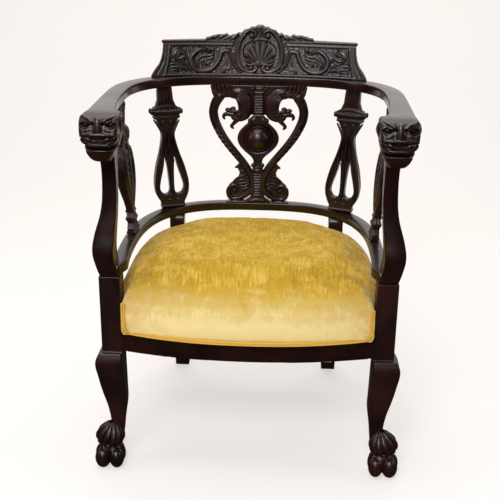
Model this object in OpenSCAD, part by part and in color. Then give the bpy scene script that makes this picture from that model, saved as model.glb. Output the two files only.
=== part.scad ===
// Carved horseshoe-back armchair with a sprung, velvet-covered seat.
// Millimetres, +Z up, front towards -Y; origin on the floor under the middle of the box.

/* [Overall] */
// height of the arm top above the floor
arm_height = 730; // [680:1:780]
// height of the lower hoop's top above the floor
hoop_height = 433; // [415:1:450]
// half the clear width between the front posts
post_inner = 247; // [225:1:275]
// front foot middle to the middle of the back rail
back_y = 461; // [440:1:500]

/* [Arms and hoop] */
// thickness of the arm and back rail
arm_thick = 20; // [14:1:28]
// width of the arm along the side
arm_wide = 38; // [30:1:46]
// how far the arm's middle bows out past the posts' inner faces
arm_bulge = 36; // [26:1:50]
// extra width of the arm where it meets the head
arm_flare = 20; // [4:1:24]
// width of the back rail under the crest
back_wide = 40; // [32:1:46]
// thickness of the lower hoop
hoop_thick = 19; // [14:1:24]
// width of the lower hoop
hoop_wide = 26; // [18:1:32]

/* [Crest] */
// height of the crest's flat shoulders above the rail
crest_height = 77; // [60:1:95]
// extra height of the carved middle
crest_peak = 32; // [10:1:45]
// thickness of the crest board
crest_thick = 22; // [14:1:30]
// half length along the crest's bottom edge
crest_half = 238; // [215:1:250]
// how far the crest leans back from bottom to peak
crest_lean = 22; // [0:1:36]

/* [Splats] */
// thickness of the carved middle splat
splat_thick = 18; // [12:1:24]
// half width of the middle splat at its widest
splat_half = 113; // [95:1:125]
// radius of the ball in the middle splat
ball_radius = 28; // [20:1:34]
// thickness of the pierced rear splats
rear_splat_thick = 15; // [10:1:20]
// where the rear splats stand on the hoop, from the middle
rear_splat_x = 193; // [150:1:215]
// turn of the rear splats from straight across
rear_splat_turn = 22; // [10:1:35]
// thickness of the side supports
support_thick = 20; // [14:1:24]
// half depth of the side supports at their fullest
support_half = 46; // [36:1:56]

/* [Posts, heads and legs] */
// width of the leg block
block_wide = 41; // [36:1:48]
// depth of the leg block, front to back
block_deep = 42; // [36:1:50]
// how far the leg block's top stops below the hoop
block_drop = 3; // [0:1:12]
// height of the leg block's bottom above the floor
block_bottom = 254; // [235:1:256]
// width of a head across the brow
head_wide = 70; // [58:1:80]
// depth of a head, front to back
head_deep = 58; // [44:1:66]
// thickness of the front leg at its ankle
ankle = 27; // [22:1:34]
// radius of a front paw
paw_radius = 31; // [26:1:36]
// rear leg's middle from the chair's middle, as a share of half the seat's width
rear_share = 0.702; // [0.6:0.01:0.76]
// rear leg thickness
rear_leg_thick = 33; // [26:1:40]
// how far the rear foot stands behind the leg's top
rear_rake = 55; // [20:1:80]

/* [Seat] */
// how far the covered seat frame reaches out past the posts' inner faces
seat_over = 15; // [12:1:22]
// height of the seat rails
rail_high = 66; // [50:1:75]
// thickness of the seat rails
rail_thick = 26; // [20:1:32]
// how far the front rail bows forward of the blocks' front
front_bow = 33; // [10:1:45]
// height of bare rail showing below the cover
rail_show = 42.5; // [30:0.5:55]
// how far the seat's crown rises above the hoop's underside
crown_over = 9; // [0:1:16]
// thickness of the velvet and its lining
cover_thick = 2.4; // [1.5:0.1:4]
// thickness of the welt cord
welt = 7; // [5:0.5:9]
// clear space between the cover and the wood beside it
cloth_gap = 0.6; // [0.4:0.1:1.5]

/* [Fits] */
// extra radius of a dowel hole over its dowel
dowel_fit = 0.1; // [0.05:0.05:0.3]
// extra radius of a screw hole over its screw
screw_fit = 0.1; // [0.05:0.05:0.3]

/* [Hidden] */
rail_low = block_bottom + 1.5;      // seat rails start just above the block's ledge
rail_top = rail_low + rail_high;
arm_low = arm_height - arm_thick;
hoop_low = hoop_height - hoop_thick;
arm_mid_y = 240;                    // where the arm is widest
hoop_half = post_inner + 9;         // middle of the hoop
block_top = hoop_low - block_drop;
seat_half = post_inner + seat_over;
rear_x = rear_share * seat_half;
cover_low = rail_low + rail_show;
crown = hoop_low + crown_over;
arm_half = post_inner + arm_bulge;
hoop_mid_y = 150;
hoop_back_y = back_y - 4;
head_back = 8;                      // arms and posts start here
post_outer = post_inner + block_wide;
block_front = 10;
post_front = head_back;
dowel_r = 5;
tip_y = back_y - back_wide / 2;     // inner face of the back rail at the middle
crest_r = 764;
centre_shift = (tip_y + crest_thick + crest_lean + head_back - head_deep) / 2; // box middle to y = 0
arm_split = arm_mid_y + 0.407 * (back_y - arm_mid_y);  // the arm pieces end here
hoop_split = hoop_mid_y + 0.635 * (hoop_back_y - hoop_mid_y);

// a rounded square path: x across, y along, for angles -90 (front) to 90 (back)
function bend(v, n) = sign(v) * pow(abs(v), 2 / n);
function hoop_pt(a, half, mid, deep, n) = [half * bend(cos(a), n), mid + deep * bend(sin(a), n)];
function unit(v) = v / norm(v);
function normal(p) = unit([p[1], -p[0]]);
function left_pt(c, i, w) = let (m = len(c) - 1, d = c[min(i + 1, m)] - c[max(i - 1, 0)])
  c[i] + normal(d) * w / 2;
function whole(p) = concat(p, [for (i = [len(p) - 2 : -1 : 1]) [-p[i][0], p[i][1]]]);
function flip(p) = [for (i = [len(p) - 1 : -1 : 0]) [-p[i][0], p[i][1]]];
// closed smooth curve through a few points
function knot(a, b, c, d, t) = 0.5 * ((2 * b) + (c - a) * t + (2 * a - 5 * b + 4 * c - d) * t * t
  + (3 * b - a - 3 * c + d) * t * t * t);
function smooth(p, k = 4) = let (n = len(p))
  [for (i = [0 : n - 1]) for (j = [0 : k - 1])
    knot(p[(i + n - 1) % n], p[i], p[(i + 1) % n], p[(i + 2) % n], j / k)];
// open smooth curve through a few points
function run(p, k = 4) = let (n = len(p))
  concat([for (i = [0 : n - 2]) for (j = [0 : k - 1])
    knot(p[max(i - 1, 0)], p[i], p[i + 1], p[min(i + 2, n - 1)], j / k)], [p[n - 1]]);

module placed() translate([0, -centre_shift, 0]) children();
module both() { children(); mirror([1, 0, 0]) children(); }
module across(w) rotate([90, 0, 0]) translate([0, 0, -w / 2]) linear_extrude(w) children();
// side profile drawn as (y, z), as thick as w along x from x = 0
module sideways(w) rotate([90, 0, 90]) linear_extrude(w) children();

// ---- arm, back rail and hoop
arm_n = 2.5;
arm_deep = back_y - arm_mid_y;
arm_front_x = post_inner + block_wide / 2 + 0.5;
function arm_x(y) = y < arm_mid_y ? arm_half - (arm_half - arm_front_x) * pow((arm_mid_y - y) / arm_mid_y, 2)
  : arm_half * pow(1 - pow((y - arm_mid_y) / arm_deep, arm_n), 1 / arm_n);
function arm_y(x) = arm_mid_y + arm_deep * pow(1 - pow(x / arm_half, arm_n), 1 / arm_n);
function arm_line() = concat([for (y = [head_back, 55, 105, 155, 200]) [arm_x(y), y]],
  [for (a = [0 : 6 : 90]) hoop_pt(a, arm_half, arm_mid_y, arm_deep, arm_n)]);
function arm_w(y) = y < arm_mid_y ? arm_wide + arm_flare * pow((arm_mid_y - y) / arm_mid_y, 2.5)
  : arm_wide + (back_wide - arm_wide) * (y - arm_mid_y) / arm_deep;
module band(c, ws) {
  n = len(c) - 1;
  polygon(concat([for (i = [0 : n]) left_pt(c, i, ws[i])], [for (i = [n : -1 : 0]) left_pt(c, i, -ws[i])]));
}
function around(c) = concat(c, [for (i = [len(c) - 2 : -1 : 0]) [-c[i][0], c[i][1]]]);
module whole_arm() let (c = around(arm_line())) band(c, [for (q = c) arm_w(q[1])]);
module front_part(y) intersection() {
  children();
  translate([0, -100]) square([600, y + 100]);
}
module back_part(y) intersection() {
  children();
  translate([-500, y]) square([1000, 600]);
}
module arm_dowel(grow = 0, long = 38) for (x = arm_dowel_x)
  translate([x, arm_split, arm_height - arm_thick / 2]) rotate([90, 0, 0])
    cylinder(r = arm_dowel_r + grow, h = long, center = true, $fn = 32);
arm_at = arm_x(arm_split);
arm_dowel_x = [arm_at - 6, arm_at + 6];
arm_dowel_r = 4;
module arm_half_body() difference() {
  translate([0, 0, arm_low]) linear_extrude(arm_thick) front_part(arm_split) whole_arm();
  arm_dowel(dowel_fit, 40);
}
module right_arm() placed() color("#231a17") arm_half_body();
module left_arm() placed() color("#231a17") mirror([1, 0, 0]) arm_half_body();
module back_rail() placed() color("#261c19") difference() {
  translate([0, 0, arm_low]) linear_extrude(arm_thick) back_part(arm_split) whole_arm();
  both() arm_dowel(dowel_fit, 40);
}
module arm_dowels() placed() color("#c9a06a") both() arm_dowel();

hoop_n = 2.77;
function hoop_y(x) = hoop_mid_y + (hoop_back_y - hoop_mid_y) * pow(1 - pow(x / hoop_half, hoop_n), 1 / hoop_n);
function hoop_line() = concat(
  [for (y = [post_back, 75, 112]) [hoop_half - 8 * pow((hoop_mid_y - y) / 110, 2), y]],
  [for (a = [0 : 6 : 90]) hoop_pt(a, hoop_half, hoop_mid_y, hoop_back_y - hoop_mid_y, hoop_n)]);
module hoop_plan() let (c = around(hoop_line())) band(c, [for (q = c) hoop_wide]);
module hoop_side() translate([0, 0, hoop_low]) linear_extrude(hoop_thick)
  difference() {
    front_part(hoop_split) hoop_plan();
    translate([post_inner - 30, -50]) square([90, 50 + post_back]);
  }
post_back = block_front + block_deep - 6;
module hoop_right() placed() color("#211815") hoop_side();
module hoop_left() placed() color("#211815") mirror([1, 0, 0]) hoop_side();
module hoop_back() placed() color("#241a17") translate([0, 0, hoop_low]) linear_extrude(hoop_thick)
  back_part(hoop_split) hoop_plan();

// ---- crest board: an elevation cut out of a leaning, curved board
function crest_edge() = let (s = crest_height, p = crest_height + crest_peak, h = crest_half)
  concat([[h, 0]], run([[h - 4, 10], [h - 17, 28], [h - 24, 52], [h - 25, s - 6]], 3),
    [[h - 24, s], [122, s + 1]],
    run([[116, s + 6], [92, s + 9], [68, s + 7], [50, s + 14], [38, p - 12], [24, p - 3]], 3),
    [[12, p]]);
module crest_rail() placed() color("#2a1f1a") intersection() {
  translate([0, tip_y - crest_r, arm_height]) rotate_extrude($fn = 240)
    polygon([[crest_r, 0], [crest_r + crest_thick, 0],
      [crest_r + crest_thick + crest_lean, crest_height + crest_peak],
      [crest_r + crest_lean, crest_height + crest_peak]]);
  translate([0, back_y, arm_height]) across(300)
    polygon(concat(crest_edge(), flip(crest_edge())));
}

// ---- middle splat: heart-shaped arms, ball in a pear, scrolled foot
splat_y = back_y - 12;
function up(t) = hoop_height + t * (arm_low - hoop_height);
sx = splat_half / 113;
function fit(p) = [for (q = p) [q[0] * sx, up((q[1] - 433) / 277)]];
splat_side = [[0, 433], [72, 433], [70, 437], [60, 438], [68, 448], [71, 462], [66, 475], [57, 483],
  [46, 492], [42, 504], [51, 517], [43, 528], [58, 544], [76, 566], [94, 593], [104, 614], [110, 632],
  [113, 646], [110, 661], [103, 677], [98, 686], [104, 697], [105, 710], [0, 710]];
splat_hole = [[76, 676], [84, 668], [90, 656], [92, 642], [89, 624], [82, 608], [70, 587], [54, 568],
  [37, 548], [27, 533], [20, 529], [11, 532], [10, 536], [15, 544], [27, 557], [39, 570], [46, 585],
  [44, 599], [37, 612], [44, 620], [54, 612], [62, 616], [50, 627], [44, 632], [70, 632], [78, 641],
  [69, 652], [55, 656], [48, 662], [51, 672], [61, 678]];
module centre_splat() placed() color("#2b201b") {
  translate([0, splat_y, 0]) across(splat_thick) difference() {
    polygon(fit(whole(splat_side)));
    both() polygon(fit(splat_hole));
  }
  intersection() {
    translate([0, splat_y - splat_thick / 2 + 4, up(0.554)]) sphere(r = ball_radius * 0.9, $fn = 48);
    translate([-50, splat_y - splat_thick / 2 - 30, up(0.4)]) cube([100, 34, 100]);
  }
}

// ---- pierced rear splats
splat_side_r = [[0, 433], [28, 433], [27, 447], [34, 458], [40, 478], [39, 500], [33, 530], [24, 560],
  [16, 590], [13, 605], [15, 622], [24, 637], [31, 641], [29, 647], [36, 653], [34, 659], [22, 668],
  [17, 682], [16, 710], [0, 710]];
slot_r = [[12, 552], [16, 528], [25, 498], [28, 480], [22, 468], [12, 466], [6, 474], [6, 500]];
function fit_r(p) = [for (q = p) [q[0], up((q[1] - 433) / 277)]];
module leaning(x, y) let (h = arm_low - hoop_height)
  multmatrix([[1, 0, x / h, -x * hoop_height / h], [0, 1, y / h, -y * hoop_height / h], [0, 0, 1, 0]])
    children();
module rear_splat() translate([rear_splat_x, hoop_y(rear_splat_x) + 1, 0])
  leaning(18, arm_y(rear_splat_x + 18) - hoop_y(rear_splat_x)) rotate(-rear_splat_turn)
    across(rear_splat_thick) difference() {
      polygon(fit_r(whole(splat_side_r)));
      both() polygon(smooth(fit_r(slot_r), 3));
    }
module rear_splat_right() placed() color("#281d19") rear_splat();
module rear_splat_left() placed() color("#281d19") mirror([1, 0, 0]) rear_splat();

// ---- carved side supports, standing along the sides of the hoop
support_mid = 220;
function fit_s(p) = [for (q = p) [q[0] * support_half / 46, up((q[1] - 433) / 277)]];
support_edge = [[0, 433], [26, 433], [24, 447], [14, 456], [17, 466], [12, 480], [20, 496], [34, 520],
  [44, 552], [46, 580], [40, 606], [30, 624], [36, 640], [30, 656], [18, 664], [20, 684], [32, 694],
  [30, 710], [0, 710]];
module side_support() translate([hoop_half - 1, support_mid, 0])
  leaning(arm_x(support_mid) - hoop_half - 2, 0)
    rotate(90) across(support_thick) polygon(fit_s(whole(support_edge)));
module side_support_right() placed() color("#2a1f1b") side_support();
module side_support_left() placed() color("#2a1f1b") mirror([1, 0, 0]) side_support();

// ---- front posts: one outline across, one front to back
function pz(t) = block_top + t * (arm_low - block_top);
post_out = [for (q = run([[-2, 0], [3, 0.07], [8, 0.18], [4, 0.28], [-8, 0.42], [-13, 0.55],
  [-14, 0.75], [-8, 0.92], [-3, 1]], 4)) [post_outer + q[0], pz(q[1])]];
post_in = [for (q = run([[1, 0], [6, 0.08], [9, 0.18], [6, 0.3], [1, 0.5], [0, 0.75], [0, 1]], 3))
  [post_inner + q[0], pz(q[1])]];
post_fr = [for (q = run([[5, 0], [-2, 0.08], [-6, 0.17], [2, 0.3], [10, 0.48], [9, 0.66], [3, 0.78],
  [0, 0.88], [0, 1]], 4)) [post_front + (q[1] > 0.7 ? max(q[0], 0) : q[0]), pz(q[1])]];
post_bk = [for (q = run([[38, 0], [37, 0.16], [34, 0.4], [34, 0.7], [40, 1]], 3))
  [post_front + q[0], pz(q[1])]];
function back_of(p) = [for (i = [len(p) - 1 : -1 : 0]) p[i]];
module arm_post() difference() {
  intersection() {
    translate([0, 30, 0]) across(160) polygon(concat(post_out, back_of(post_in)));
    translate([post_inner - 20, 0, 0]) sideways(100) polygon(concat(post_fr, back_of(post_bk)));
  }
  post_dowel(dowel_fit);
}
module post_dowel(grow = 0) translate([post_inner + block_wide / 2, post_front + 21, block_top - 25 - 2 * grow])
  cylinder(r = dowel_r + grow, h = 50 + 4 * grow, $fn = 32);
module arm_post_right() placed() color("#1f1714") arm_post();
module arm_post_left() placed() color("#1f1714") mirror([1, 0, 0]) arm_post();
module post_dowels() placed() color("#c9a06a") both() post_dowel();

// ---- beast heads on the fronts of the arms
head_top = arm_height + 6;
head_mid = post_inner + 16;
head_side = [[head_back, 0], [head_back - 22, 0], [head_back - head_deep + 14, -4],
  [head_back - head_deep + 8, -12], [head_back - head_deep + 2, -24], [head_back - head_deep, -37],
  [head_back - head_deep + 3, -48], [head_back - head_deep + 22, -51], [head_back - head_deep + 24, -60],
  [head_back - head_deep + 8, -62], [head_back - head_deep + 10, -71], [head_back - head_deep + 24, -85],
  [head_back - 16, -92], [head_back, -90]];
function head_face() = let (h = head_wide / 2)
  [[h - 12, 0], [h - 3, -5], [h, -14], [h - 1, -36], [h - 4, -56], [h - 9, -70], [h - 17, -84],
    [h - 24, -92]];
module beast_head() translate([0, 0, head_top]) union() {
  intersection() {
    translate([head_mid - head_wide, 0, 0]) sideways(2 * head_wide) polygon(head_side);
    translate([head_mid, 0, 0]) across(200) polygon(concat(head_face(), flip(head_face())));
  }
  for (s = [-1, 1]) translate([head_mid + s * 19, head_back - head_deep + 12, -17]) sphere(r = 7, $fn = 24);
}
module beast_head_right() placed() color("#2d211c") beast_head();
module beast_head_left() placed() color("#2d211c") mirror([1, 0, 0]) beast_head();

// ---- front legs: block, bowed leg and paw
leg_out = [for (q = run([[block_wide + 8, -4], [block_wide + 13, -26], [block_wide + 8, -60],
  [block_wide + 2, -90], [ankle + 7, -125], [ankle + 2, -159], [ankle + 4, -182], [ankle + 9, -206]], 3))
  [post_inner + q[0], block_bottom + q[1]]];
leg_in = [for (q = run([[0, -4], [-1, -30], [-3, -83], [-4, -115], [1, -152], [4, -182], [8, -206]], 3))
  [post_inner + q[0], block_bottom + q[1]]];
leg_fr = [for (q = run([[-10, -4], [-15, -26], [-11, -60], [-7, -100], [-4, -140], [-5, -182], [-9, -206]], 3))
  [block_front + q[0], block_bottom + q[1]]];
leg_bk = [for (q = run([[block_deep, -4], [block_deep - 4, -30], [block_deep - 10, -80], [ankle - 1, -120],
  [ankle - 5, -159], [ankle - 7, -182], [ankle - 9, -206]], 3))
  [block_front + q[0], block_bottom + q[1]]];
foot_x = post_inner + 31;
module paw() {
  difference() {
    translate([foot_x, 0, 0]) union() {
      translate([0, 4, 0]) scale([1, 0.95, 1]) cylinder(r1 = paw_radius - 7, r2 = paw_radius - 5, h = 26, $fn = 48);
      translate([-5, 12, 30]) scale([0.9, 0.85, 1.5]) sphere(r = paw_radius - 5, $fn = 40);
      for (i = [-1.5 : 1 : 1.5]) rotate(i * 32) {
        translate([0, -paw_radius + 13, 34]) scale([0.85, 1.15, 1]) sphere(r = 13, $fn = 28);
        translate([0, -paw_radius + 9, 12]) scale([0.8, 1.05, 1]) sphere(r = 12, $fn = 28);
      }
    }
    translate([150, -150, -40]) cube([250, 300, 40]);
  }
}
module front_leg() difference() {
  union() {
    translate([post_inner, block_front, block_bottom - 6])
      cube([block_wide, block_deep, block_top - block_bottom + 6]);
    intersection() {
      translate([0, 30, 0]) across(160) polygon(concat(leg_out, back_of(leg_in)));
      translate([post_inner - 40, 0, 0]) sideways(140) polygon(concat(leg_fr, back_of(leg_bk)));
    }
    paw();
  }
  post_dowel(dowel_fit);
  block_screw(screw_fit);
}
module front_leg_right() placed() color("#1e1613") front_leg();
module front_leg_left() placed() color("#1e1613") mirror([1, 0, 0]) front_leg();

// ---- rear legs, raked back to the floor
rear_top_y = hoop_y(rear_x);
rear_line = run([[0, 1], [1, 0.7], [9, 0.45], [28, 0.2], [rear_rake, 0]], 4);
function rear_edge(s) = [for (q = rear_line) [rear_top_y + q[0] + s * rear_leg_thick / 2, q[1] * hoop_low]];
module rear_leg() translate([rear_x - rear_leg_thick / 2, 0, 0]) sideways(rear_leg_thick)
  polygon(concat(rear_edge(-1), back_of(rear_edge(1))));
module rear_leg_right() placed() color("#201714") rear_leg();
module rear_leg_left() placed() color("#201714") mirror([1, 0, 0]) rear_leg();

// ---- seat frame
seat_n = 3.2;
seat_back = hoop_back_y - 22;
leg_front_y = rear_top_y - rear_leg_thick / 2;
function seat_pt(a, inset) = let (p = hoop_pt(a, seat_half, hoop_mid_y, seat_back - hoop_mid_y, seat_n),
  q = hoop_pt(a + 0.5, seat_half, hoop_mid_y, seat_back - hoop_mid_y, seat_n),
  r = hoop_pt(a - 0.5, seat_half, hoop_mid_y, seat_back - hoop_mid_y, seat_n))
  p - normal(q - r) * inset;
function seat_side(inset, steps = 15) = [for (i = [0 : steps]) let (a = 1 + i * 88 / steps) seat_pt(a, inset)];
front_y = block_front;
bow_r = (post_inner * post_inner + front_bow * front_bow) / (2 * front_bow);
function bow_y(x, r, tip) = tip + r - sqrt(r * r - x * x);
module frame_ring(grow, w) difference() {
  ring_plan(grow);
  ring_plan(grow + w);
}
module ring_plan(inset) polygon(concat([[0, 60], [seat_half - inset, 60]], seat_side(inset),
  flip(seat_side(inset)), [[-seat_half + inset, 60]]));
rail_in = cover_thick + cloth_gap + 0.5;   // rails sit inside the cloth
module side_rail() translate([0, 0, rail_low]) linear_extrude(rail_high) intersection() {
  frame_ring(rail_in, rail_thick);
  translate([post_inner - 160, block_front + block_deep]) square([200, leg_front_y - block_front - block_deep]);
  translate([rear_x - rear_leg_thick / 2, 0]) square([200, 500]);
}
module side_seat_rail_right() placed() color("#3b2a20") side_rail();
module side_seat_rail_left() placed() color("#3b2a20") mirror([1, 0, 0]) side_rail();
module rear_seat_rail() placed() color("#3b2a20") translate([0, 0, rail_low]) linear_extrude(rail_high)
  intersection() {
    frame_ring(rail_in, rail_thick);
    translate([-rear_x + rear_leg_thick / 2, 300]) square([2 * rear_x - rear_leg_thick, 200]);
  }
module front_seat_rail() placed() color("#241a17") translate([0, 0, rail_low]) linear_extrude(rail_high)
  intersection() {
    translate([0, block_front - front_bow + bow_r]) difference() {
      circle(r = bow_r, $fn = 360);
      circle(r = bow_r - rail_thick, $fn = 360);
    }
    translate([-post_inner, -80]) square([2 * post_inner, 140]);
  }
// blocks glued and screwed into the two front inside corners
block_z = rail_low + 14;
side_in = seat_half - rail_in - rail_thick;
module block_screw(grow = 0) translate([side_in - 26, 24 + 1.5 * rail_thick, block_z + 15]) rotate([0, 90, -30]) {
  translate([0, 0, -3.5]) cylinder(r = 5, h = 3.5, $fn = 32);
  cylinder(r = 2 + grow, h = 62 + grow, $fn = 24);
}
module front_corner() difference() {
  translate([0, 0, block_z]) linear_extrude(30) intersection() {
    translate([0, block_front - front_bow + bow_r]) circle(r = bow_r - rail_thick, $fn = 360);
    difference() {
      polygon([[side_in - 54, 0], [post_inner, 0], [post_inner, block_front + block_deep],
        [side_in, block_front + block_deep], [side_in, 106]]);
      translate([side_in - 26, 63]) rotate(-30) translate([-60, -30]) square([60, 60]);
    }
  }
  block_screw(screw_fit);
}
module corner_blocks() placed() color("#b08a56") both() front_corner();
module corner_block_screws() placed() color("#8f8f8c") both() block_screw();

// ---- springing
web_z = rail_low - 3;
module under_plan(inset) union() {
  ring_plan(inset);
  translate([-post_inner + inset, 2 * inset - 30]) square([2 * post_inner - 2 * inset, 100 - 2 * inset]);
}
module seat_webbing() placed() color("#b9a27c") {
  translate([0, 0, web_z]) linear_extrude(1.4) intersection() {
    under_plan(12);
    for (x = [-140, -70, 0, 70, 140]) translate([x - 25, -6]) square([50, 460]);
  }
  translate([0, 0, web_z + 1.3]) linear_extrude(1.4) intersection() {
    under_plan(12);
    for (i = [0 : 3]) translate([-300, 90 + i * (seat_back - 175) / 3 - 25]) square([600, 50]);
  }
}
spring_z = web_z + 2.9;
spring_high = rail_top - 0.5 - spring_z;
module seat_springs() placed() color("#8c8f92")
  for (x = [-120, 0, 120]) for (i = [0, 0.5, 1]) translate([x, 95 + i * (seat_back - 225), spring_z])
    linear_extrude(spring_high, twist = -360 * 3, slices = 28) translate([34, 0]) circle(r = 3.2, $fn = 5);
module spring_hessian() placed() color("#a78f66") translate([0, 0, rail_top]) linear_extrude(1.2)
  difference() {
    intersection() {
      union() {
        ring_plan(rail_in + 6);
        translate([-post_inner + 6, -40]) square([2 * post_inner - 12, 130]);
      }
      union() {
        translate([0, block_front - front_bow + bow_r]) circle(r = bow_r - 6, $fn = 180);
        translate([-300, 60]) square([600, 500]);
      }
    }
    leg_room();
  }
module leg_room() both() translate([rear_x - rear_leg_thick / 2 - cloth_gap, leg_front_y - cloth_gap])
  square([rear_leg_thick + 2 * cloth_gap, 100]);

// ---- soft seat: rings of one outline, drawn in towards the crown
front_tip = block_front - front_bow - 10;
side_start = block_front + block_deep + 3;
function seat_ring(inset) = let (fx = post_inner - 1.5 - inset, sx = seat_half - inset)
  concat([for (i = [0 : 6]) let (x = fx * i / 6)
      [x, front_tip + inset + (block_front - 12 - front_tip) * pow(x / fx, 2.2)]],
    [[fx, 24], [fx, side_start + inset / 2], [sx, side_start + 12 + inset / 2], [sx, 150]],
    [for (i = [0 : 11]) seat_pt(4 + i * 86 / 11, inset)]);
function whole_ring(inset) = let (s = seat_ring(inset), f = flip(s), n = len(s))
  concat(s, [for (i = [1 : n - 2]) f[i]]);
seat_mid = 195;
// [share of the outline, height share, extra reach of the front]
dome_steps = [[1, 0, 0], [1.003, 0.25, 0.028], [0.997, 0.48, 0.022], [0.966, 0.66, 0.008], [0.91, 0.79, 0],
  [0.8, 0.885, 0], [0.64, 0.95, 0], [0.46, 0.985, 0], [0.27, 1, 0]];
function squeeze(q, k) = [q[0] * k[0], seat_mid + (q[1] - seat_mid) * (k[0] + (q[1] < seat_mid ? k[2] : 0))];
module dome(inset, top, low) {
  base = whole_ring(inset);
  m = len(dome_steps);
  n = len(base);
  pts = [for (k = dome_steps) let (z = k[1] == 0 ? low : cover_low + k[1] * (top - cover_low))
    for (q = base) let (e = squeeze(q, k)) [e[0], e[1], z]];
  polyhedron(pts, concat([[for (i = [0 : n - 1]) i]],
    [for (k = [0 : m - 2]) for (i = [0 : n - 1]) let (j = (i + 1) % n)
      each [[k * n + i, (k + 1) * n + i, (k + 1) * n + j], [k * n + i, (k + 1) * n + j, k * n + j]]],
    [[for (i = [n - 1 : -1 : 0]) (m - 1) * n + i]]));
}
module velvet_cover() placed() color("#c8a040") difference() {
  dome(0, crown, cover_low);
  dome(cover_thick, crown - cover_thick, cover_low - 5);
  translate([0, 0, cover_low - 10]) linear_extrude(200) leg_room();
}
module seat_stuffing() placed() color("#e6dcc4") difference() {
  dome(cover_thick + 0.1, crown - cover_thick - 0.1, cover_low + 3);
  translate([0, 0, cover_low]) linear_extrude(rail_top + 1.4 - cover_low) union() {
    translate([-300, side_start - 8]) square([600, 500]);
    translate([0, block_front - front_bow + bow_r]) circle(r = bow_r + 0.2, $fn = 180);
  }
  translate([0, 0, cover_low - 10]) linear_extrude(200) leg_room();
}

// a cord swept along a path, ns pointing out from the seat
function cord_ring(p, ns, i, r, k) = let (m = len(p) - 1,
  t = unit(p[min(i + 1, m)] - p[max(i - 1, 0)]), b = cross(t, ns[i]))
  [for (j = [0 : k - 1]) p[i] + r * (cos(j * 360 / k) * ns[i] + sin(j * 360 / k) * b)];
module cord(p, ns, r, k = 10) {
  m = len(p);
  pts = [for (i = [0 : m - 1]) each cord_ring(p, ns, i, r, k)];
  polyhedron(pts, concat([[for (j = [0 : k - 1]) j]],
    [for (i = [0 : m - 2]) for (j = [0 : k - 1]) let (q = (j + 1) % k)
      each [[i * k + j, (i + 1) * k + j, (i + 1) * k + q], [i * k + j, (i + 1) * k + q, i * k + q]]],
    [[for (j = [k - 1 : -1 : 0]) (m - 1) * k + j]]));
}
welt_out = -welt / 2 - 0.3;
welt_z = cover_low + welt / 2;
cord_end = acos(pow((rear_x + rear_leg_thick / 2) / seat_half, seat_n / 2)) + 0.6; // at the rear leg
front_cord = let (fx = post_inner - 2 - welt / 2, y0 = front_tip + welt_out)
  concat([for (z = [64, 44, 24, 10, 3]) [-fx + (z < 5 ? 1.5 : 0), block_front - 12 - 5 - (64 - z) * 0.06, welt_z + z]],
    [for (i = [-6 : 6]) [fx * i / 6 * 0.975, y0 + (block_front - 12 - front_tip) * pow(abs(i) / 6, 2.2), welt_z]],
    [for (z = [3, 10, 24, 44, 64]) [fx - (z < 5 ? 1.5 : 0), block_front - 12 - 5 - (64 - z) * 0.06, welt_z + z]]);
side_cord = [for (q = concat([[seat_half - welt_out, side_start + 14], [seat_half - welt_out, 100],
  [seat_half - welt_out, 150]], [for (i = [0 : 9]) seat_pt(4 + i * (cord_end - 4) / 9, welt_out)])) [q[0], q[1], welt_z]];
function side_ns(p) = [for (i = [0 : len(p) - 1]) let (m = len(p) - 1,
  d = p[min(i + 1, m)] - p[max(i - 1, 0)]) unit([d[1], -d[0], 0])];
module welt_cord() placed() color("#b98f35") {
  cord(front_cord, [for (q = front_cord) [0, -1, 0]], welt / 2);
  both() cord(side_cord, side_ns(side_cord), welt / 2);
}
module dust_cover() placed() color("#151515") translate([0, 0, web_z - 1.4]) linear_extrude(1)
  difference() {
    intersection() {
      under_plan(9);
      union() {
        translate([0, block_front - front_bow + bow_r]) circle(r = bow_r - 7, $fn = 180);
        translate([-300, 60]) square([600, 500]);
      }
    }
    leg_room();
    both() translate([post_inner - 1, block_front - 1]) square([60, block_deep + 2]);
  }

back_rail();
left_arm();
right_arm();
crest_rail();
hoop_back();
hoop_left();
hoop_right();
centre_splat();
rear_splat_left();
rear_splat_right();
side_support_left();
side_support_right();
arm_post_left();
arm_post_right();
beast_head_left();
beast_head_right();
front_leg_left();
front_leg_right();
rear_leg_left();
rear_leg_right();
front_seat_rail();
rear_seat_rail();
side_seat_rail_left();
side_seat_rail_right();
corner_blocks();
corner_block_screws();
post_dowels();
arm_dowels();
seat_webbing();
seat_springs();
spring_hessian();
seat_stuffing();
velvet_cover();
welt_cord();
dust_cover();
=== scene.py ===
import math
import bpy
import bmesh
import numpy as np
import openvdb
from mathutils import Matrix, Vector
from mathutils.bvhtree import BVHTree


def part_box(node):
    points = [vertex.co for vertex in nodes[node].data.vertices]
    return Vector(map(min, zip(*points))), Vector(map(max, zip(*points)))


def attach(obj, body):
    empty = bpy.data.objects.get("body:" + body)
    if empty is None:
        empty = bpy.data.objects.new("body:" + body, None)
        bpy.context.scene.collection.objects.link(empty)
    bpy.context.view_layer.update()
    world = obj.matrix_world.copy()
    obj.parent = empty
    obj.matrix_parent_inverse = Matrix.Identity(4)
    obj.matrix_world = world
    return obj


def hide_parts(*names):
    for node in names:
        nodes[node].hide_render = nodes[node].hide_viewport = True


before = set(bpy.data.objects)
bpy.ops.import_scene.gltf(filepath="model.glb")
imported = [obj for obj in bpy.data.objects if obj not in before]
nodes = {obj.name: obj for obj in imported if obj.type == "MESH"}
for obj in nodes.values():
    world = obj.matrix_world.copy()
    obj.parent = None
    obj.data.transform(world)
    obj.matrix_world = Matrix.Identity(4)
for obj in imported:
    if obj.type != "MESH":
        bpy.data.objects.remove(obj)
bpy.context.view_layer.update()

# Shapes are drawn in millimetres: x to the right, y backwards from the front feet, z up from the floor.
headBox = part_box("beast_head_right")
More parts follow.
